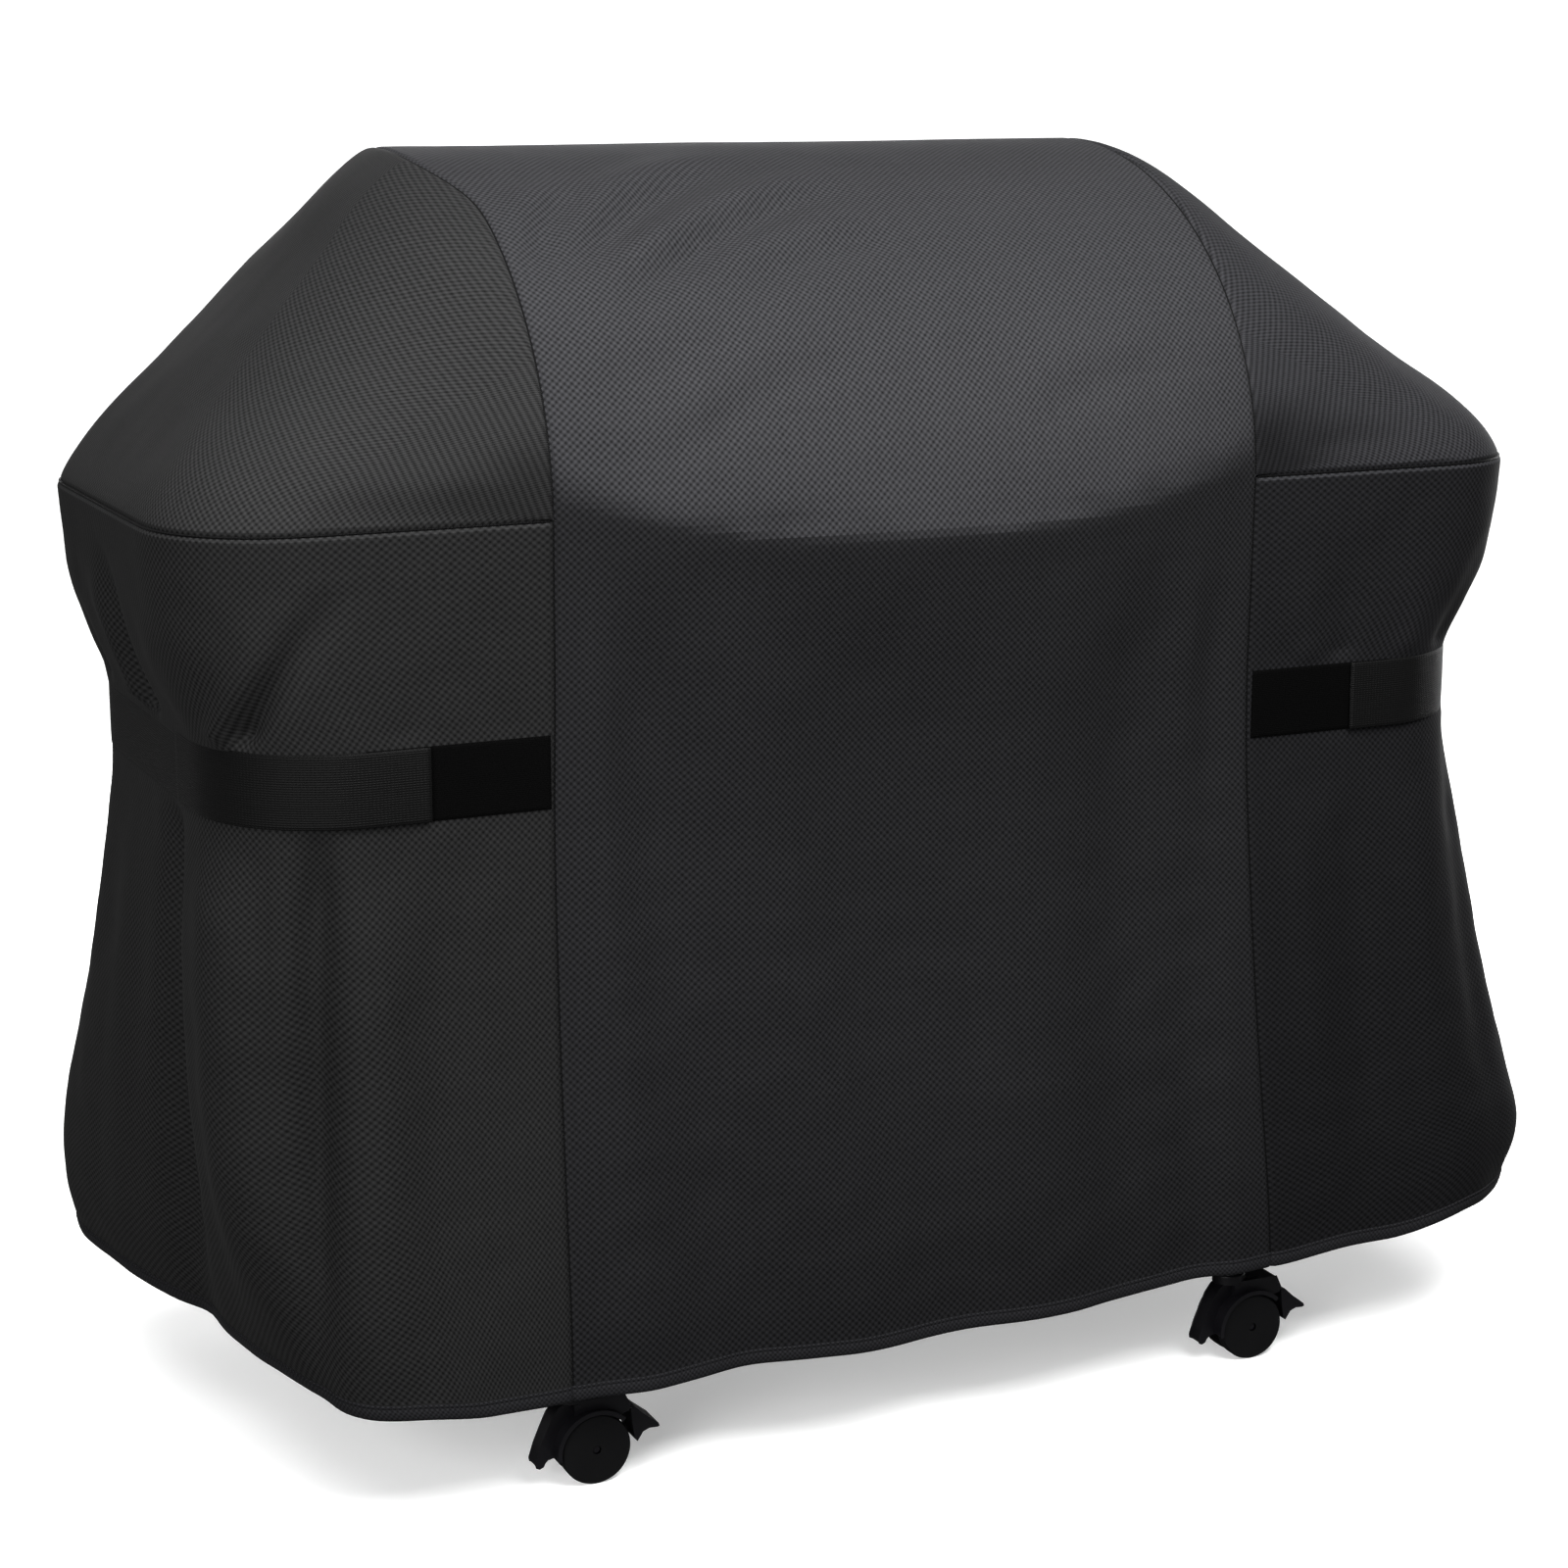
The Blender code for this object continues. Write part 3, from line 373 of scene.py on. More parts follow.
def centre_rows():
    """The centre panel from the front hem over the lid to the back hem: points and outward
    directions [row, column, xyz], and each row's distance along the panel."""
    depths = interpolate(DEPTHS, LEVELS)
    line, normal = lid_line(lid_angles()[1:-1])
    y = np.concatenate([depths[:, 0], line[:, 0], depths[::-1, 1]])
    z = np.concatenate([LEVELS, line[:, 1], LEVELS[::-1]])
    count = len(LEVELS)
    ny = np.concatenate([-np.ones(count), normal[:, 0], np.ones(count)])
    nz = np.concatenate([np.zeros(count), normal[:, 1], np.zeros(count)])
    girth = run_lengths(np.stack([y, z], axis=1))
    ratio = 2 * T_CENTRE - 1
    flare = np.where(ratio < 0, ridge_flare("left", z)[:, None], ridge_flare("right", z)[:, None])
    seam_x = centre_half(z)[:, None] + flare
    x = seam_x * ratio
    height = down_rows(z, x.shape)
    up = down_rows(girth - girth[count - 1], x.shape)
    points = np.stack([x, down_rows(y, x.shape), height], axis=2)
    outward = np.stack([np.zeros_like(x), down_rows(ny, x.shape), down_rows(nz, x.shape)], axis=2)
    edge = seam_x - np.abs(x)
    dip, fade = at_seams(edge)
    on_front = (np.arange(len(y)) < count + len(line) * 0.5)[:, None]
    relief = front_relief(x, height, points, up)
    back = 0.004 * ripple(points * np.array((1.0, 1.0, 0.35)), 7.0, 31.0)
    near_ridge = 1.0 - 0.7 * bell(z[:, None] - RIDGE_Z, 0.03)
    relief = np.where(on_front, relief, back) * fade * near_ridge + dip
    points = points + outward * relief[..., None]
    points[..., 1] -= lid_edge_push(ratio[None, :], height) * on_front
    points = lifted(points, 0.010 * ease(x, 0.08, CENTRE_HALF_HEM - 0.001))
    return points, outward, girth


def leg(controls, w):
    """A clamped quadratic B-spline through control arrays, at one share of the way."""
    spans = len(controls) - 2
    position = min(w * spans, spans - 1e-9)
    i = int(position)
    t = position - i
    start = controls[i] if i == 0 else (controls[i] + controls[i + 1]) / 2
    end = controls[i + 2] if i == spans - 1 else (controls[i + 1] + controls[i + 2]) / 2
    return start * (1 - t)**2 + controls[i + 1] * 2 * t * (1 - t) + end * t**2


def line_in(foot):
    """Unit directions in plan that point inwards from the shoulder seam."""
    tangent = np.gradient(foot, axis=0)
    inward = np.stack([-tangent[:, 1], tangent[:, 0], np.zeros(len(foot))], axis=1)
    return inward / np.linalg.norm(inward, axis=1, keepdims=True)


def shoulder_rows(side):
    """A shoulder panel from its seam up to the lid line: points [row, column, xyz] and the
    distances climbed."""
    foot, _, _ = skirt_rows(np.array([SHOULDER_Z]), side)
    foot = foot[0] * np.array((SIDES[side], 1.0, 1.0))
    angles = lid_angles()
    line, _ = lid_line(angles)
    top = np.stack([np.full_like(angles, CENTRE_HALF), *line.T], axis=1)
    top[:, 2] = np.maximum(top[:, 2], SHOULDER_Z)
    rise = np.clip((top[:, 2] - foot[:, 2]) / 0.2, 0.0, 1.0)
    round_here = LID_END_ROUND + (RIDGE_END_ROUND[side] - LID_END_ROUND) * np.sin(angles)**6
    ridge_end = top.copy()
    ridge_end[:, 0] += round_here * rise
    inward = line_in(foot)
    corner = foot + inward * (SHOULDER_LEAN * rise)[:, None]
    corner[:, 2] += SHOULDER_ROUND * rise
    middle = (ridge_end + corner) / 2
    facing_front = np.clip(np.cos(angles), 0.0, 1.0)
    middle[:, 2] -= SHOULDER_SAG[side] * rise * (0.35 + 0.65 * np.sin(2 * np.clip(angles, 0, math.pi / 2)))
    middle[:, 1] += 0.006 * facing_front * rise
    top[:, 0] += ridge_flare(side, line[:, 1])
    controls = [foot, corner, middle, ridge_end, top]
    points = np.stack([leg(controls, w) for w in T_RISE])
    across = np.gradient(points, axis=1)
    upward = np.gradient(points, axis=0)
    normal = np.cross(across, upward)
    length = np.linalg.norm(normal, axis=2, keepdims=True)
    normal = np.where(length > 1e-12, normal / np.maximum(length, 1e-12), np.array((0.0, -1.0, 0.0)))
    steps = np.linalg.norm(np.diff(points, axis=0), axis=2)
    climbed = np.concatenate([np.zeros((1, points.shape[1])), np.cumsum(steps, axis=0)])
    left_over = climbed[-1:] - climbed
    dip = np.minimum(seam_dip(climbed), seam_dip(left_over))
    fade = (1.0 - bell(climbed, 0.04)) * (1.0 - bell(left_over, 0.04))
    relief = 0.0050 * ripple(points, 6.0, 41.0 + SIDES[side]) + 0.0010 * ripple(points, 22.0, 17.0)
    relief = relief * fade + dip
    points = points + normal * relief[..., None]
    flip = np.array((SIDES[side], 1.0, 1.0))
    return points * flip, climbed


# ---------------------------------------------------------------- meshes

def make_object(name, verts, faces, uvs=None, material=None):
    mesh = bpy.data.meshes.new(name)
    mesh.from_pydata([tuple(v) for v in verts], [], faces)
    if uvs is not None:
        layer = mesh.uv_layers.new(name="cloth")
        loops = np.zeros(len(mesh.loops), np.int32)
        mesh.loops.foreach_get("vertex_index", loops)
        layer.data.foreach_set("uv", np.asarray(uvs, np.float32)[loops].ravel())
    mesh.validate()
    mesh.shade_smooth()
    if material is not None:
        mesh.materials.append(material)
    obj = bpy.data.objects.new(name, mesh)
    bpy.context.scene.collection.objects.link(obj)
    return obj


def grid_object(name, points, uvs, material, flip=False):
    """One layer of cloth from a grid [row, column, xyz], then given its thickness inwards."""
    rows, columns = points.shape[:2]
    index = np.arange(rows * columns).reshape(rows, columns)
    quads = np.stack([index[:-1, :-1], index[:-1, 1:], index[1:, 1:], index[1:, :-1]], axis=2).reshape(-1, 4)
    if flip:
        quads = quads[:, ::-1]
    obj = make_object(name, points.reshape(-1, 3), quads.tolist(), uvs.reshape(-1, 2), material)
    solid = obj.modifiers.new("thickness", "SOLIDIFY")
    solid.thickness = CLOTH_THICK
    solid.offset = -1.0
    return obj


def run_lengths(points):
    """The distance of each point along a line, from its start."""
    steps = np.linalg.norm(np.diff(points, axis=0), axis=1)
    return np.concatenate([[0.0], np.cumsum(steps)])


def fit_out(obj, body, slot, *nodes):
    """Ride a piece on its body and hide the CAD nodes it stands for; the slot is not used."""
    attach(obj, body)
    if nodes:
        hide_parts(*nodes)
    return obj


def swept_object(name, sections, uvs, material, closed=False):
    """A closed skin through sections [section, corner, xyz] that are closed loops; open ends are capped."""
    count, corners = sections.shape[:2]
    faces = ring_faces(count, corners)
    last = (count - 1) * corners
    if closed:
        faces += [[last + j, last + (j + 1) % corners, (j + 1) % corners, j] for j in range(corners)]
    else:
        faces += [list(range(corners))[::-1], list(range(last, last + corners))]
    obj = make_object(name, sections.reshape(-1, 3), faces, uvs.reshape(-1, 2), material)
    outward(obj)
    return obj


def ring_faces(rings, steps, first=0):
    """Quads between closed rings of points that follow each other from a first vertex."""
    index = first + np.arange(rings * steps).reshape(rings, steps)
    beside = np.roll(index, -1, axis=1)
    return np.stack([index[:-1], beside[:-1], beside[1:], index[1:]], axis=2).reshape(-1, 4).tolist()


def outward(obj):
    """Turn a closed mesh right side out."""
    mesh = obj.data
    spots = np.array([vertex.co for vertex in mesh.vertices])
    volume = 0.0
    for polygon in mesh.polygons:
        first, *others = spots[list(polygon.vertices)]
        for second, third in zip(others, others[1:]):
            volume += first.dot(np.cross(second, third))
    if volume < 0:
        mesh.flip_normals()


# ---------------------------------------------------------------- materials

class Nodes:
    """Short names for building a material's nodes."""

    def __init__(self, name, colour, roughness, metallic=0.0, specular=0.5):
        self.material = bpy.data.materials.new(name)
        self.material.use_nodes = True
        self.material.diffuse_color = (*colour, 1.0)
        self.tree = self.material.node_tree
        self.shader = self.tree.nodes["Principled BSDF"]
        self.fill(self.shader, Base_Color=(*colour, 1.0), Roughness=roughness, Metallic=metallic,
                  Specular_IOR_Level=specular)

    def link(self, value, socket):
        """Feed a socket from another node's output, or set it to a number, a vector or a colour."""
        if isinstance(value, bpy.types.NodeSocket):
            self.tree.links.new(value, socket)
        else:
            socket.default_value = value

    def fill(self, node, **values):
        for name, value in values.items():
            self.link(value, node.inputs[name.replace("_", " ")])
        return node

    def node(self, kind, **values):
        return self.fill(self.tree.nodes.new("ShaderNode" + kind), **values)

    def maths(self, operation, a, b=0.0):
        node = self.node("Math")
        node.operation = operation
        self.link(a, node.inputs[0])
        self.link(b, node.inputs[1])
        return node.outputs[0]

    def add(self, a, b):
        return self.maths("ADD", a, b)

    def minus(self, a, b):
        return self.maths("SUBTRACT", a, b)

    def times(self, a, b):
        return self.maths("MULTIPLY", a, b)

    def wave(self, value, pitch, shift=0.0):
        """A sine of the value that repeats at the pitch."""
        return self.maths("SINE", self.add(self.times(value, 2 * math.pi / pitch), shift))

    def parts(self, vector):
        return self.node("SeparateXYZ", Vector=vector).outputs

    def place(self, kind="UV"):
        """Coordinates as a vector: the cloth's own, or the object's in metres."""
        return self.node("TexCoord").outputs[kind]

    def stretch(self, vector, scale):
        return self.node("Mapping", Vector=vector, Scale=scale).outputs[0]

    def noise(self, vector, scale, detail=2.0, rough=0.5):
        return self.node("TexNoise", Vector=vector, Scale=scale, Detail=detail, Roughness=rough).outputs[0]

    def mix(self, blend, share, a, b):
        node = self.node("Mix")
        node.data_type = "RGBA"
        node.blend_type = blend
        for index, value in ((0, share), (6, a), (7, b)):
            self.link(value, node.inputs[index])
        return node.outputs[2]

    def tone(self, colour, factor):
        """The colour times a factor that varies over the surface."""
        self.fill(self.shader, Base_Color=self.mix("MULTIPLY", 1.0, (*colour, 1.0), factor))

    def ramp(self, value, start, end, low, high):
        """Low below the start, high above the end, smooth between."""
        node = self.node("MapRange")
        node.interpolation_type = "SMOOTHSTEP"
        self.fill(node, Value=value, From_Min=start, From_Max=end, To_Min=low, To_Max=high)
        return node.outputs[0]

    def fade(self, painted_light_gain, start, end, painted_shade_low_down):
        """Painted light: lighter by the gain where the cloth faces up high on the cover; painted shade
        darkens its tone low down.
        """
        normal = self.node("NewGeometry").outputs["True Normal"]
        facing = self.ramp(self.parts(normal)[2], start, end, 0.0, painted_light_gain)
        height = self.parts(self.place("Object"))[2]
        # Painted highlight on the upper, up-facing cloth, then painted shade towards the hem.
        painted_top_light = self.add(self.times(facing, self.ramp(height, 0.74, 0.90, 0.12, 1.0)), 1.0)
        return self.times(painted_top_light, self.ramp(height, 0.05, 0.75, painted_shade_low_down, 1.0))

    def bump(self, height, strength, distance):
        node = self.node("Bump", Strength=strength, Distance=distance, Height=height)
        self.fill(self.shader, Normal=node.outputs[0])


def cloth_material(name, colour, pitch, contrast, fade):
    """Coated Oxford cloth: crossing threads that show as a fine chequer, with slubs and dusty patches, and
    the fade's painted light and shade on top.
    """
    n = Nodes(name, colour, 0.75, specular=0.04)
    n.fill(n.shader, Sheen_Weight=0.008, Sheen_Roughness=0.45)
    uv = n.place()
    u, v = n.parts(uv)[:2]
    chequer = n.times(n.wave(u, 2 * pitch), n.wave(v, 2 * pitch))
    slub_u = n.noise(n.stretch(uv, (1.0 / pitch, 9.0, 1.0)), 0.55, 1.0)
    slub_v = n.noise(n.stretch(uv, (9.0, 1.0 / pitch, 1.0)), 0.55, 1.0)
    slubs = n.minus(n.add(slub_u, slub_v), 1.0)
    grain = n.minus(n.noise(uv, 0.75 / pitch, 1.0), 0.5)
    dust = n.minus(n.noise(n.place("Object"), 5.0, 3.0), 0.5)
    weave = n.add(n.add(n.times(chequer, 0.85), n.times(grain, 0.55)), n.times(slubs, 0.12))
    factor = n.add(n.add(n.times(weave, contrast), 1.0), n.times(dust, 0.22))
    # The fade paints light on the upper cloth and shade low down.
    n.tone(colour, n.times(factor, n.fade(*fade)))
    n.bump(n.add(chequer, n.times(slubs, 0.4)), 0.30, 0.0003)
    return n.material


def webbing_material(name, colour):
    """Woven polypropylene webbing with ribs along its length and a cross thread."""
    n = Nodes(name, colour, 0.55, specular=0.06)
    n.fill(n.shader, Sheen_Weight=0.006)
    uv = n.place()
    u, v = n.parts(uv)[:2]
    ribs = n.wave(v, 0.0022)
    cross = n.wave(u, 0.0034, n.times(ribs, 1.2))
    fuzz = n.minus(n.noise(uv, 600.0, 2.0), 0.5)
    streak = n.minus(n.noise(n.stretch(uv, (6.0, 300.0, 1.0)), 1.0, 2.0), 0.5)
    pattern = n.add(n.add(n.times(ribs, 0.22), n.times(cross, 0.22)), n.add(fuzz, streak))
    n.tone(colour, n.add(n.times(pattern, 0.45), 1.0))
    n.bump(n.add(ribs, n.times(cross, 0.6)), 0.5, 0.0004)
    return n.material


def fuzzy_material(name, colour, scale):
    """Hook or loop tape: a dense speckled pile."""
    n = Nodes(name, colour, 0.95, specular=0.02)
    uv = n.place()
    pile = n.noise(uv, scale, 3.0, 0.7)
    rows = n.wave(n.parts(uv)[1], 0.0019)
    n.tone(colour, n.add(n.times(n.minus(pile, 0.5), 2.4), 1.0))
    n.bump(n.add(pile, n.times(rows, 0.12)), 0.7, 0.0008)
    return n.material


def hard_material(name, colour, roughness, metallic=0.0, grain=900.0, strength=0.12, wear=0.25, gloss=0.5):
    """Moulded plastic or coated steel with fine grain, smudges and slight wear."""
    n = Nodes(name, colour, roughness, metallic, gloss)
    place = n.place("Object")
    smudge = n.minus(n.noise(place, 18.0, 3.0, 0.6), 0.5)
    n.tone(colour, n.add(n.times(smudge, wear * 2), 1.0))
    n.fill(n.shader, Roughness=n.add(n.times(smudge, 0.30), roughness))
    n.bump(n.noise(place, grain, 2.0), strength, 0.0003)
    return n.material


# Each cloth's colour, and its fade of painted light: gain of the painted highlight where the cloth faces up,
# the normal's rise where it starts and ends, and the painted shade low down
CLOTH_TONES_AND_PAINTED_LIGHT = {
    "centre": ((0.0088, 0.0088, 0.0095), (1.30, 0.02, 0.24, 0.76)),
    "left": ((0.0092, 0.0092, 0.0093), (0.62, 0.13, 0.36, 1.0)),
    # The right cloth is a darker copy of the left one, with a stronger painted highlight on top: painted
    # shade on the right side.
    "right": ((0.0064, 0.0064, 0.0070), (1.50, 0.13, 0.36, 0.72)),
}
WEAVE = 0.0034
CLOTH = {part: cloth_material("cover cloth " + part, colour, WEAVE, 0.80, fade)
         for part, (colour, fade) in CLOTH_TONES_AND_PAINTED_LIGHT.items()}
# The hem tape's fade paints a slight highlight where it faces up.
TAPE = cloth_material("hem tape", (0.0085, 0.0085, 0.0094), 0.0024, 0.70, (0.2, 0.1, 0.4, 1.0))
THREAD = webbing_material("seam thread", (0.0012, 0.0012, 0.0013))
WEBBING = webbing_material("strap webbing", (0.0021, 0.0021, 0.0021))
HOOK = fuzzy_material("hook tape", (0.0012, 0.0012, 0.0012), 700.0)
LOOP = fuzzy_material("loop tape", (0.0045, 0.0045, 0.0047), 420.0)
STEEL = hard_material("powder coat", (0.045, 0.045, 0.048), 0.45, 0.3, 500.0)
ZINC = hard_material("zinc", (0.55, 0.55, 0.56), 0.30, 1.0, 400.0, 0.08, 0.10)
PLASTIC = hard_material("caster plastic", (0.0040, 0.0038, 0.0048), 0.38, 0.0, 700.0, 0.15, 0.25, 0.16)
WHEEL = hard_material("wheel plastic", (0.0060, 0.0060, 0.0090), 0.35, 0.0, 600.0, 0.12, 0.25, 0.16)
TREAD = hard_material("tread rubber", (0.0030, 0.0030, 0.0033), 0.65, 0.0, 500.0, 0.3, 0.25, 0.10)


# ---------------------------------------------------------------- seams, hem and stitches

# The dark seam line is partly the seam's thread and partly painted shade in the seam's groove.
SEAM_HALF = 0.0012       # half width of the thread line that shows
SEAM_OUTLINE = [(-SEAM_HALF, -0.0006), (-SEAM_HALF * 0.6, 0.0007), (SEAM_HALF * 0.6, 0.0007),
                (SEAM_HALF, -0.0006), (SEAM_HALF, -0.0140), (-SEAM_HALF, -0.0140)]


def seam_sections(points, directions, lateral):
    """Sections along a seam: the outline's (sideways, outward) places at each point."""
    corners = [points + lateral * side + directions * out for side, out in SEAM_OUTLINE]
    return np.stack(corners, axis=1)


def strip_uvs(sections):
    """Cloth coordinates of a swept strip: along it, and round its section."""
    along = run_lengths(sections.mean(axis=1))
    loop = run_lengths(sections[len(sections) // 2])
    shape = sections.shape[:2]
    return np.stack([down_rows(along, shape), along_columns(loop, shape)], axis=2)


def centre_seam(side, points, directions):
    """The sewn line between the centre panel and its neighbours, with its allowance inside; its dark line is
    partly the seam's thread and partly painted shade of the seam's groove.
    """
    column = -1 if side == "right" else 0
    line, out = points[:, column], directions[:, column]
    sections = seam_sections(line, out, np.array((1.0, 0.0, 0.0)))
    obj = swept_object("centre_seam_line_" + side, sections, strip_uvs(sections), THREAD)
    return fit_out(obj, "stand", "seam_thread", "centre_seam_" + side)


# Its dark line is partly the seam's thread and partly painted shade in the groove.
def shoulder_seam(side):
    points, directions, _ = skirt_rows(np.array([SHOULDER_Z]), side)
    line, out = points[0][2:-2], directions[0][2:-2]
    sections = seam_sections(line, out, np.array((0.0, 0.0, 1.0)))
    obj = swept_object("shoulder_seam_line_" + side, sections, strip_uvs(sections), THREAD)
    return fit_out(obj, "stand", "seam_thread", "shoulder_seam_" + side)


# Section of the folded binding: (outward, height above the hem); the groove is its stitch line
BINDING_OUTLINE = [(0.0002, 0.0135), (0.0013, 0.0131), (0.0016, 0.0119), (0.0008, 0.0107), (0.0016, 0.0095),
                   (0.0020, 0.0062), (0.0019, 0.0022), (0.0013, -0.0006), (0.0, -0.0016), (-0.0016, -0.0008),
                   (-0.0024, 0.0022), (-0.0024, 0.0120), (-0.0012, 0.0134)]
STITCH_PITCH = 0.0044
STITCH_LENGTH = 0.0034
STITCH_THICK = 0.0004
GROOVE_HEIGHT = 0.0107   # of the stitch line above the hem


def hem_loop(front, front_out, sides):
    """The bottom edge all the way round: points at the hem and at the binding's top, and directions."""
    top = int(np.argmin(np.abs(LEVELS - HEM_Z - BINDING_HEIGHT)))
    right, right_out, _ = sides["right"]
    left, left_out, _ = sides["left"]
    runs = [(front[0], front[top], front_out[0]), (right[0], right[top], right_out[0]),
            (front[-1][::-1], front[-1 - top][::-1], front_out[-1]),
            (left[0][::-1], left[top][::-1], left_out[0][::-1])]
    return [np.concatenate([run[k][:-1] for run in runs]) for k in range(3)]


def hem_binding(low, high, out):
    corners = []
    for outward_by, up in BINDING_OUTLINE:
        share = min(max(up / BINDING_HEIGHT, 0.0), 1.0)
        corner = low + (high - low) * share + out * outward_by
        corner[:, 2] = low[:, 2] + up
        corners.append(corner)
    sections = np.stack(corners, axis=1)
    obj = swept_object("hem_tape", sections, strip_uvs(sections), TAPE, closed=True)
    return fit_out(obj, "stand", "hem_tape", "hem_binding")


def stitches(name, line, directions):
    """A row of short raised stitches round a closed line, as one mesh of small lozenges."""
    line = np.concatenate([line, line[:1]])
    directions = np.concatenate([directions, directions[:1]])
    lengths = run_lengths(line)
    verts, faces = [], []
    for i in range(int(lengths[-1] / STITCH_PITCH)):
        middle = (i + 0.5) * STITCH_PITCH
        places = [middle - STITCH_LENGTH / 2, middle, middle + STITCH_LENGTH / 2]
        spots = np.array([[np.interp(p, lengths, line[:, k]) for k in range(3)] for p in places])
        out = np.array([np.interp(places[1], lengths, directions[:, k]) for k in range(3)])
        along = (spots[2] - spots[0]) / max(np.linalg.norm(spots[2] - spots[0]), 1e-9)
        across = np.cross(out, along)
        start = len(verts)
        verts += [spots[0], spots[2]]
        for share in (0.25, 0.75):
            spot = spots[0] + (spots[2] - spots[0]) * share
            verts += [spot + out * STITCH_THICK, spot + across * STITCH_THICK / 2,
                      spot - out * STITCH_THICK, spot - across * STITCH_THICK / 2]
        for j in range(4):
            k = (j + 1) % 4
            faces.append((start, start + 2 + k, start + 2 + j))
            faces.append((start + 2 + j, start + 2 + k, start + 6 + k, start + 6 + j))
            faces.append((start + 1, start + 6 + j, start + 6 + k))
    obj = make_object(name, verts, faces, np.zeros((len(verts), 2)), THREAD)
    outward(obj)
    return obj


# ---------------------------------------------------------------- straps

WAIST = 0.694
STRAP_THICK = 0.0020
TAPE_THICK = 0.0012
STRAP_SLACK = 0.0006     # between the cloth and the webbing where it is sewn down
TAB_LIFT = 0.0036        # between the cloth and the webbing over the two tapes
STRAP_FREE_X = 0.490
HINGE_X = {"left": 0.554, "right": 0.544}
TAPE_TO_HINGE = 0.006
HOOK_START_X = 0.3745
STRAP_JOIN = 0.43        # where the two lengths of a strap overlap, round from the front seam
STRAP_OVERLAP = 0.020
STRAP_BACK_GAP = 0.050   # from its end to the back seam


def waist_line(side, places):
    """Points and outward directions on the skirt at strap height, at distances round from the seam."""
    points, directions, around = skirt_rows(np.array([WAIST]), side)
    line = np.stack([np.interp(places, around[0], points[0][:, k]) for k in range(3)], axis=1)
    out = np.stack([np.interp(places, around[0], directions[0][:, k]) for k in range(3)], axis=1)
    return line, out / np.linalg.norm(out, axis=1, keepdims=True)


def band(name, side, places, lift, thick, low, high, material, crown=0.0):
    """A flat band round the waist: rounded edges, and a slight crown across it."""
    line, out = waist_line(side, places)
    edge = thick * 0.35
    middle = (low + high) / 2
    outline = [(low + edge, 0.0), (low, thick / 2), (low + edge, thick), (low + 0.004, thick + crown * 0.5),
               (middle, thick + crown), (high - 0.004, thick + crown * 0.5), (high - edge, thick),
               (high, thick / 2), (high - edge, 0.0), (middle, 0.0)]
    corners = []
    for height, outward_by in outline:
        corner = line + out * (lift + outward_by)
        corner[:, 2] = height
        corners.append(corner)
    sections = np.stack(corners, axis=1)
    uvs = np.zeros(sections.shape[:2] + (2,))
    uvs[..., 0] = places[:, None]
    uvs[..., 1] = [h if o > 0 else h + 0.1 for h, o in outline]
    return swept_object(name, sections, uvs, material)


def strap(side):
    """The webbing from its free end round the side to the back, in two overlapping lengths."""
    free = STRAP_FREE_X - CENTRE_HALF
    hinge = HINGE_X[side] - CENTRE_HALF
    places = np.arange(free, STRAP_JOIN, 0.004)
    down = ease(places, hinge + 0.004, hinge + 0.060)
    lift = (TAB_LIFT + (STRAP_SLACK - TAB_LIFT) * down)[:, None]
    front = band("strap_front_" + side, side, places, lift, STRAP_THICK, STRAP_LOW, STRAP_HIGH, WEBBING,
                 crown=0.0004)
    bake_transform(front)
    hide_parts("strap_webbing_" + side, "strap_tab_" + side)
    _, _, around = skirt_rows(np.array([WAIST]), side)
    end = around[0, -1] - STRAP_BACK_GAP
    rest = np.arange(STRAP_JOIN - STRAP_OVERLAP, end, 0.006)
    back = band("strap_back_" + side, side, rest, STRAP_SLACK * 0.3, STRAP_THICK * 0.9,
                STRAP_LOW + 0.0003, STRAP_HIGH - 0.0003, WEBBING)
    return front, fit_out(back, "stand", "webbing")


def tapes(side):
    """The hook tape sewn on the cloth and the loop tape on the inner face of the tab."""
    reach = HINGE_X[side] - TAPE_TO_HINGE - CENTRE_HALF
    places = np.linspace(HOOK_START_X - CENTRE_HALF, reach, 45)
    hook = band("hook_tape_" + side, side, places, 0.0004, TAPE_THICK, STRAP_LOW, STRAP_HIGH, HOOK)
    fit_out(hook, "stand", "hook_tape", "hook_patch_" + side)
    places = np.linspace(STRAP_FREE_X + 0.002 - CENTRE_HALF, reach, 16)
    loop = band("loop_tape_" + side, side, places, TAB_LIFT - 0.0004 - TAPE_THICK, TAPE_THICK,
                STRAP_LOW + 0.001, STRAP_HIGH - 0.001, LOOP)
    return hook, fit_out(loop, "tab_" + side, "loop_tape", "loop_patch_" + side)


# ---------------------------------------------------------------- stand and casters

def soften(obj, width):
    modifier = obj.modifiers.new("edges", "BEVEL")
    modifier.width = width
    modifier.segments = 2
    modifier.limit_method = "ANGLE"
    modifier.angle_limit = math.radians(40)


def dress(node, material, bevel):
    """Give a CAD node its finish and soft edges."""
    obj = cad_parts[node]
    obj.data.materials.clear()
    obj.data.materials.append(material)
    if bevel:
        soften(obj, bevel)


WHEEL_R = 0.035
TREAD_FROM = 0.021       # radius where the tread's rubber begins
WHEEL_STEPS = 72


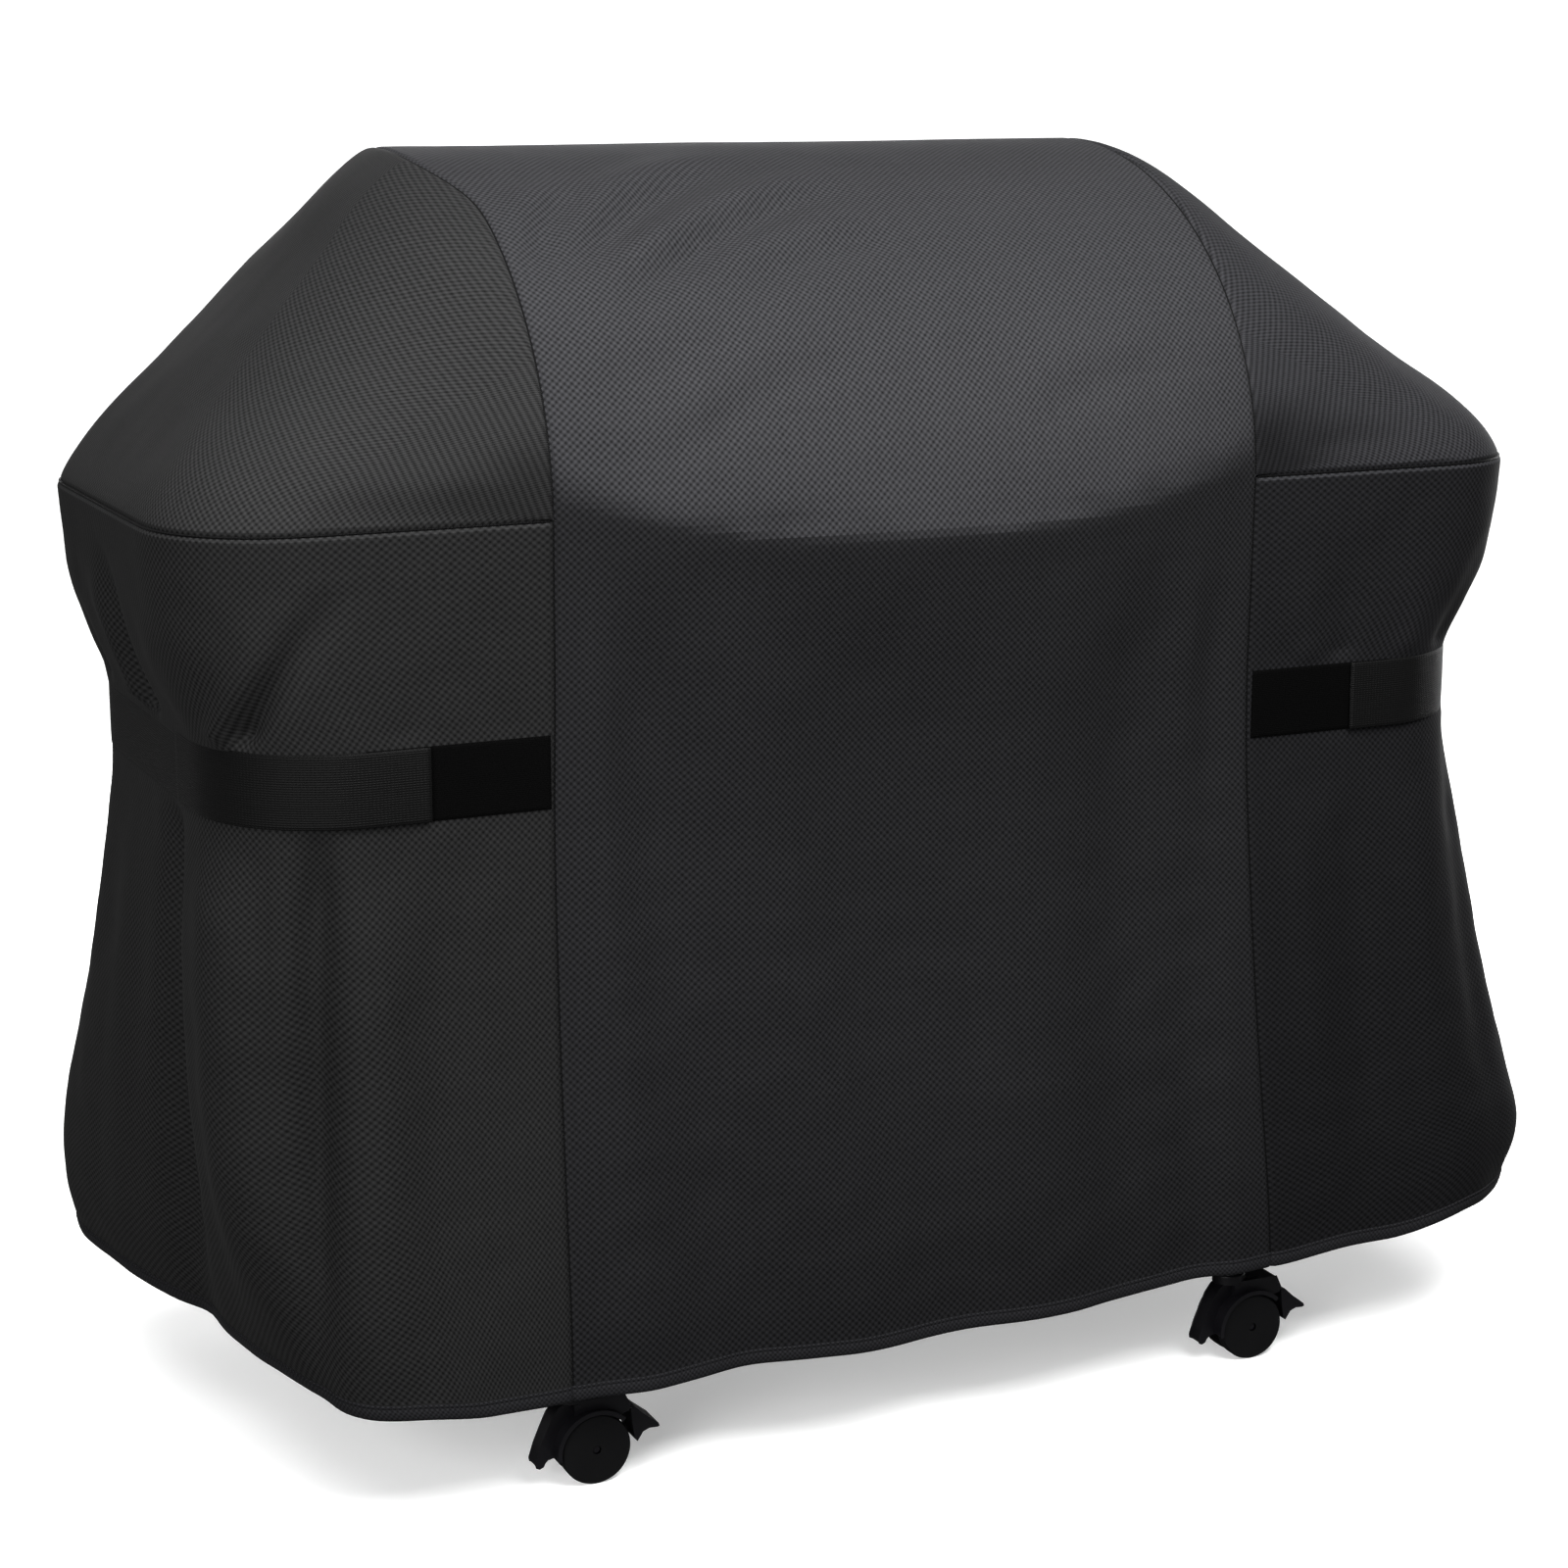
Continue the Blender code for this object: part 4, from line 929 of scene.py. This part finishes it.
def wheel(node, facing):
    """A caster wheel on its CAD place: rubber tread, stepped hub and a cap over the axle."""
    low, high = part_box(node)
    x, z = (low.x + high.x) / 2, (low.z + high.z) / 2
    near, far = (high.y, low.y) if facing < 0 else (low.y, high.y)
    width = abs(far - near)
    profile = [(0.0002, 0.0004), (0.0050, 0.0006), (0.0056, 0.0020), (0.0090, 0.0022), (0.0096, 0.0010),
               (0.0190, 0.0008), (0.0198, 0.0018), (0.0212, 0.0018), (0.0220, 0.0004), (0.0310, 0.0002),
               (0.0338, 0.0014), (WHEEL_R, 0.0042), (WHEEL_R, 0.0080), (WHEEL_R - 0.0004, 0.0084),
               (WHEEL_R, 0.0088), (WHEEL_R, width - 0.0020), (WHEEL_R - 0.0012, width), (0.0042, width)]
    verts, groups = [], []
    for radius, depth in profile:
        for angle in np.linspace(0.0, 2 * math.pi, WHEEL_STEPS, endpoint=False):
            verts.append((x + radius * math.cos(angle), far - facing * depth, z + radius * math.sin(angle)))
    for radius, _ in profile[:-1]:
        groups += [1 if radius > TREAD_FROM else 0] * WHEEL_STEPS
    faces = ring_faces(len(profile), WHEEL_STEPS)
    obj = make_object(node.replace("caster_wheel", "wheel_with_tread"), verts, faces, None, WHEEL)
    obj.data.materials.append(TREAD)
    obj.data.polygons.foreach_set("material_index", groups)
    outward(obj)
    obj.data.set_sharp_from_angle(angle=math.radians(38))
    body = node.replace("caster_wheel_outer", "wheels").replace("caster_wheel_inner", "wheels")
    fit_out(obj, body, "wheel_plastic", node)


def circle_part(radius, start, end, steps):
    """Points on a circle between two angles in degrees."""
    angles = np.radians(np.linspace(start, end, steps))
    return [(radius * math.cos(a), radius * math.sin(a)) for a in angles]


def prism(outline, half):
    """Corners and faces of an outline (along, up) that reaches half a width to each side."""
    count = len(outline)
    corners = [(x, y, z) for y in (-half, half) for x, z in outline]
    faces = [tuple(range(count)), tuple(range(2 * count - 1, count - 1, -1))]
    faces += [(i, (i + 1) % count, (i + 1) % count + count, i + count) for i in range(count)]
    return corners, [face[::-1] for face in faces]


ARCH = 0.0372            # radius of the housing's arch over the wheels
NECK_RADIUS = 0.0170
# Outlines round the axle, along the caster and up: the fin with its rolled lip, and the block under the neck
FIN_OUTLINE = [(-0.0410, -0.0050), (-0.0465, -0.0066), (-0.0490, -0.0095), (-0.0505, -0.0125),
               (-0.0540, -0.0140), (-0.0572, -0.0125), (-0.0578, -0.0090), (-0.0530, 0.0060),
               (-0.0470, 0.0200), (-0.0400, 0.0350), (-0.0330, 0.0440), (-0.0240, 0.0495),
               (0.0100, 0.0495), (0.0250, 0.0440), (0.0345, 0.0330)]
BLOCK_OUTLINE = [(-0.0200, 0.0498), (0.0305, 0.0498), (0.0360, 0.0375), (0.0345, 0.0330)]
HOOD_THICK = 0.0028
FIN_HALF, BLOCK_HALF, WEB_HALF = 0.0095, 0.0165, 0.0040
NECK_FOOT = 0.0470       # above the axle
NECK_EDGE = 0.0012
RING = 40


def housing(where):
    """A caster housing: a thin hood over both wheels, a fin with a lip, a web between them and the neck."""
    node = "caster_housing_" + where
    axle = sum(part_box("caster_wheel_outer_" + where), Vector()) / 2
    stem = sum(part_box("caster_stem_" + where), Vector()) / 2
    low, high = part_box(node)
    middle_y, half = (low.y + high.y) / 2, (high.y - low.y) / 2
    solids = [prism(circle_part(ARCH, 46, 186, 28) + circle_part(ARCH + HOOD_THICK, 186, 46, 28), half),
              prism(circle_part(0.0378, 40, 188, 24) + FIN_OUTLINE, FIN_HALF),
              prism(circle_part(0.0376, 52, 120, 12) + BLOCK_OUTLINE, BLOCK_HALF),
              prism(circle_part(0.0385, 35, 150, 16) + circle_part(0.0125, 180, 340, 10), WEB_HALF)]
    verts, faces = [], []
    for corners, sides in solids:
        faces += [tuple(v + len(verts) for v in face) for face in sides]
        verts += [(axle.x + x, middle_y + y, axle.z + z) for x, y, z in corners]
    first = len(verts)
    for height, radius in ((axle.z + NECK_FOOT, NECK_RADIUS), (high.z - NECK_EDGE, NECK_RADIUS),
                           (high.z, NECK_RADIUS - NECK_EDGE)):
        for i in range(RING):
            angle = 2 * math.pi * i / RING
            verts.append((stem.x + radius * math.cos(angle), middle_y + radius * math.sin(angle), height))
    faces += ring_faces(3, RING, first)
    faces.append(tuple(range(first + RING - 1, first - 1, -1)))
    faces.append(tuple(range(first + 2 * RING, first + 3 * RING)))
    obj = make_object("caster_hood_" + where, verts, faces, None, PLASTIC)
    obj.data.set_sharp_from_angle(angle=math.radians(30))
    soften(obj, 0.0009)
    fit_out(obj, "caster_" + where, "caster_plastic", node)


def casters():
    for end in ("front", "back"):
        for side in SIDES:
            where = end + "_" + side
            housing(where)
            dress("caster_stem_" + where, ZINC, 0.0)
            dress("caster_axle_" + where, PLASTIC, 0.0)
            wheel("caster_wheel_outer_" + where, -1)
            wheel("caster_wheel_inner_" + where, 1)
            if end == "front":
                dress("brake_pedal_" + where, PLASTIC, 0.0010)


def stand():
    edged = ["bottom_shelf", "side_table_left", "side_table_right"]
    edged += ["top_rail_" + place for place in ("front", "back", "left", "right")]
    edged += ["post_" + end + "_" + side for end in ("front", "back") for side in SIDES]
    for node in edged:
        dress(node, STEEL, 0.0015)
    for node in ("lid_hood", "lid_end_left", "lid_end_right"):
        dress(node, STEEL, 0.0)


# ---------------------------------------------------------------- cover

def build_cover():
    centre, centre_out, girth = centre_rows()
    sides = {side: skirt_rows(LEVELS, side) for side in SIDES}
    shape = centre.shape[:2]
    across = along_columns((2 * T_CENTRE - 1) * CENTRE_HALF, shape)
    uvs = np.stack([across, down_rows(girth, shape)], axis=2)
    panel = grid_object("centre_panel_cloth", centre, uvs, CLOTH["centre"])
    fit_out(panel, "stand", "cover_cloth", "centre_panel")
    low, high, out = hem_loop(centre, centre_out, sides)
    binding = hem_binding(low, high, out)
    groove = low + (high - low) * GROOVE_HEIGHT / BINDING_HEIGHT + out * 0.0011
    groove[:, 2] = low[:, 2] + GROOVE_HEIGHT
    hem_stitches = fit_out(stitches("hem_stitches", groove, out), "stand", "seam_thread")
    seams = [centre_seam(side, centre, centre_out) for side in SIDES]
    for side in SIDES:
        build_side(side, sides[side][0], sides[side][2])


def build_side(side, points, around):
    """One side's skirt, shoulder panel, seam, strap and tapes."""
    waist = around[int(np.argmin(np.abs(LEVELS - WAIST)))]
    flip = side == "left"
    shape = points.shape[:2]
    uvs = np.stack([along_columns(waist, shape), down_rows(LEVELS, shape)], axis=2)
    skirt = grid_object("skirt_cloth_" + side, points, uvs, CLOTH[side], flip)
    fit_out(skirt, "stand", "cover_cloth", "skirt_" + side)
    rows, climbed = shoulder_rows(side)
    uvs = np.stack([along_columns(around[-1], rows.shape[:2]), climbed + SHOULDER_Z], axis=2)
    shoulder = grid_object("shoulder_cloth_" + side, rows, uvs, CLOTH[side], flip)
    fit_out(shoulder, "stand", "cover_cloth", "shoulder_panel_" + side)
    seam = shoulder_seam(side)
    front, back = strap(side)
    hook, loop = tapes(side)


build_cover()
stand()
casters()

# ---------------------------------------------------------------- floor, light and camera

FLOOR_SEEN, FLOOR_BOUNCE, FLOOR_GLOW = 0.85, 0.12, 0.35


def add_floor():
    """A pale floor that rises gently far behind, like a studio sweep, and glows a little where it is
    seen directly; it bounces little light back up."""
    verts = []
    for y, z in ((-60.0, 0.0), (6.0, 0.0), (12.0, 0.2), (30.0, 1.4), (80.0, 5.5)):
        verts += [(-80.0, y, z), (80.0, y, z)]
    faces = [(2 * i, 2 * i + 1, 2 * i + 3, 2 * i + 2) for i in range(4)]
    floor = make_object("floor", verts, faces)
    pale, dim = (FLOOR_SEEN,) * 3, (FLOOR_BOUNCE,) * 3
    n = Nodes("floor", pale, 0.8, specular=0.1)
    seen = n.node("LightPath").outputs["Is Camera Ray"]
    n.fill(n.shader, Base_Color=n.mix("MIX", seen, (*dim, 1.0), (*pale, 1.0)),
           Emission_Color=(1.0, 1.0, 1.0, 1.0), Emission_Strength=n.times(seen, FLOOR_GLOW))
    floor.data.materials.append(n.material)


def add_light(kind, name, place, target, power):
    """A light at a place that points at a target."""
    light = bpy.data.lights.new(name, kind)
    light.energy = power
    obj = bpy.data.objects.new(name, light)
    obj.location = place
    obj.rotation_mode = "QUATERNION"
    obj.rotation_quaternion = (Vector(place) - Vector(target)).to_track_quat("Z", "Y")
    bpy.context.scene.collection.objects.link(obj)
    return light


def add_camera():
    data = bpy.data.cameras.new("camera")
    data.lens = 74.70
    data.sensor_width = 36.0
    obj = bpy.data.objects.new("camera", data)
    obj.location = (-1.387, -3.019, 1.3395)
    obj.rotation_euler = (math.radians(90 - 12.775), 0.0, math.radians(-24.593))
    bpy.context.scene.collection.objects.link(obj)
    bpy.context.scene.camera = obj


add_floor()
add_light("SUN", "sky", (-0.05, 0.02, 1.0), (0.0, 0.0, 0.0), 2.8).angle = math.radians(70)
add_light("AREA", "overhead", (0.10, -1.60, 2.35), (0.05, -0.15, 1.0), 92.0).size = 1.3
add_light("AREA", "left", (-2.5, -2.1, 1.2), (-0.4, 0.0, 0.6), 85.0).size = 1.5
add_light("AREA", "back", (0.7, 3.0, 1.1), (0.0, 0.2, 0.6), 75.0).size = 2.0
add_light("AREA", "right", (3.3, 1.4, 1.0), (0.5, 0.1, 0.6), 50.0).size = 1.8
world = bpy.data.worlds.new("studio")
world.use_nodes = True
world.node_tree.nodes["Background"].inputs[0].default_value = (1.0, 1.0, 1.0, 1.0)
world.node_tree.nodes["Background"].inputs[1].default_value = 0.25
bpy.context.scene.world = world
bpy.context.scene.view_settings.view_transform = "Standard"
add_camera()
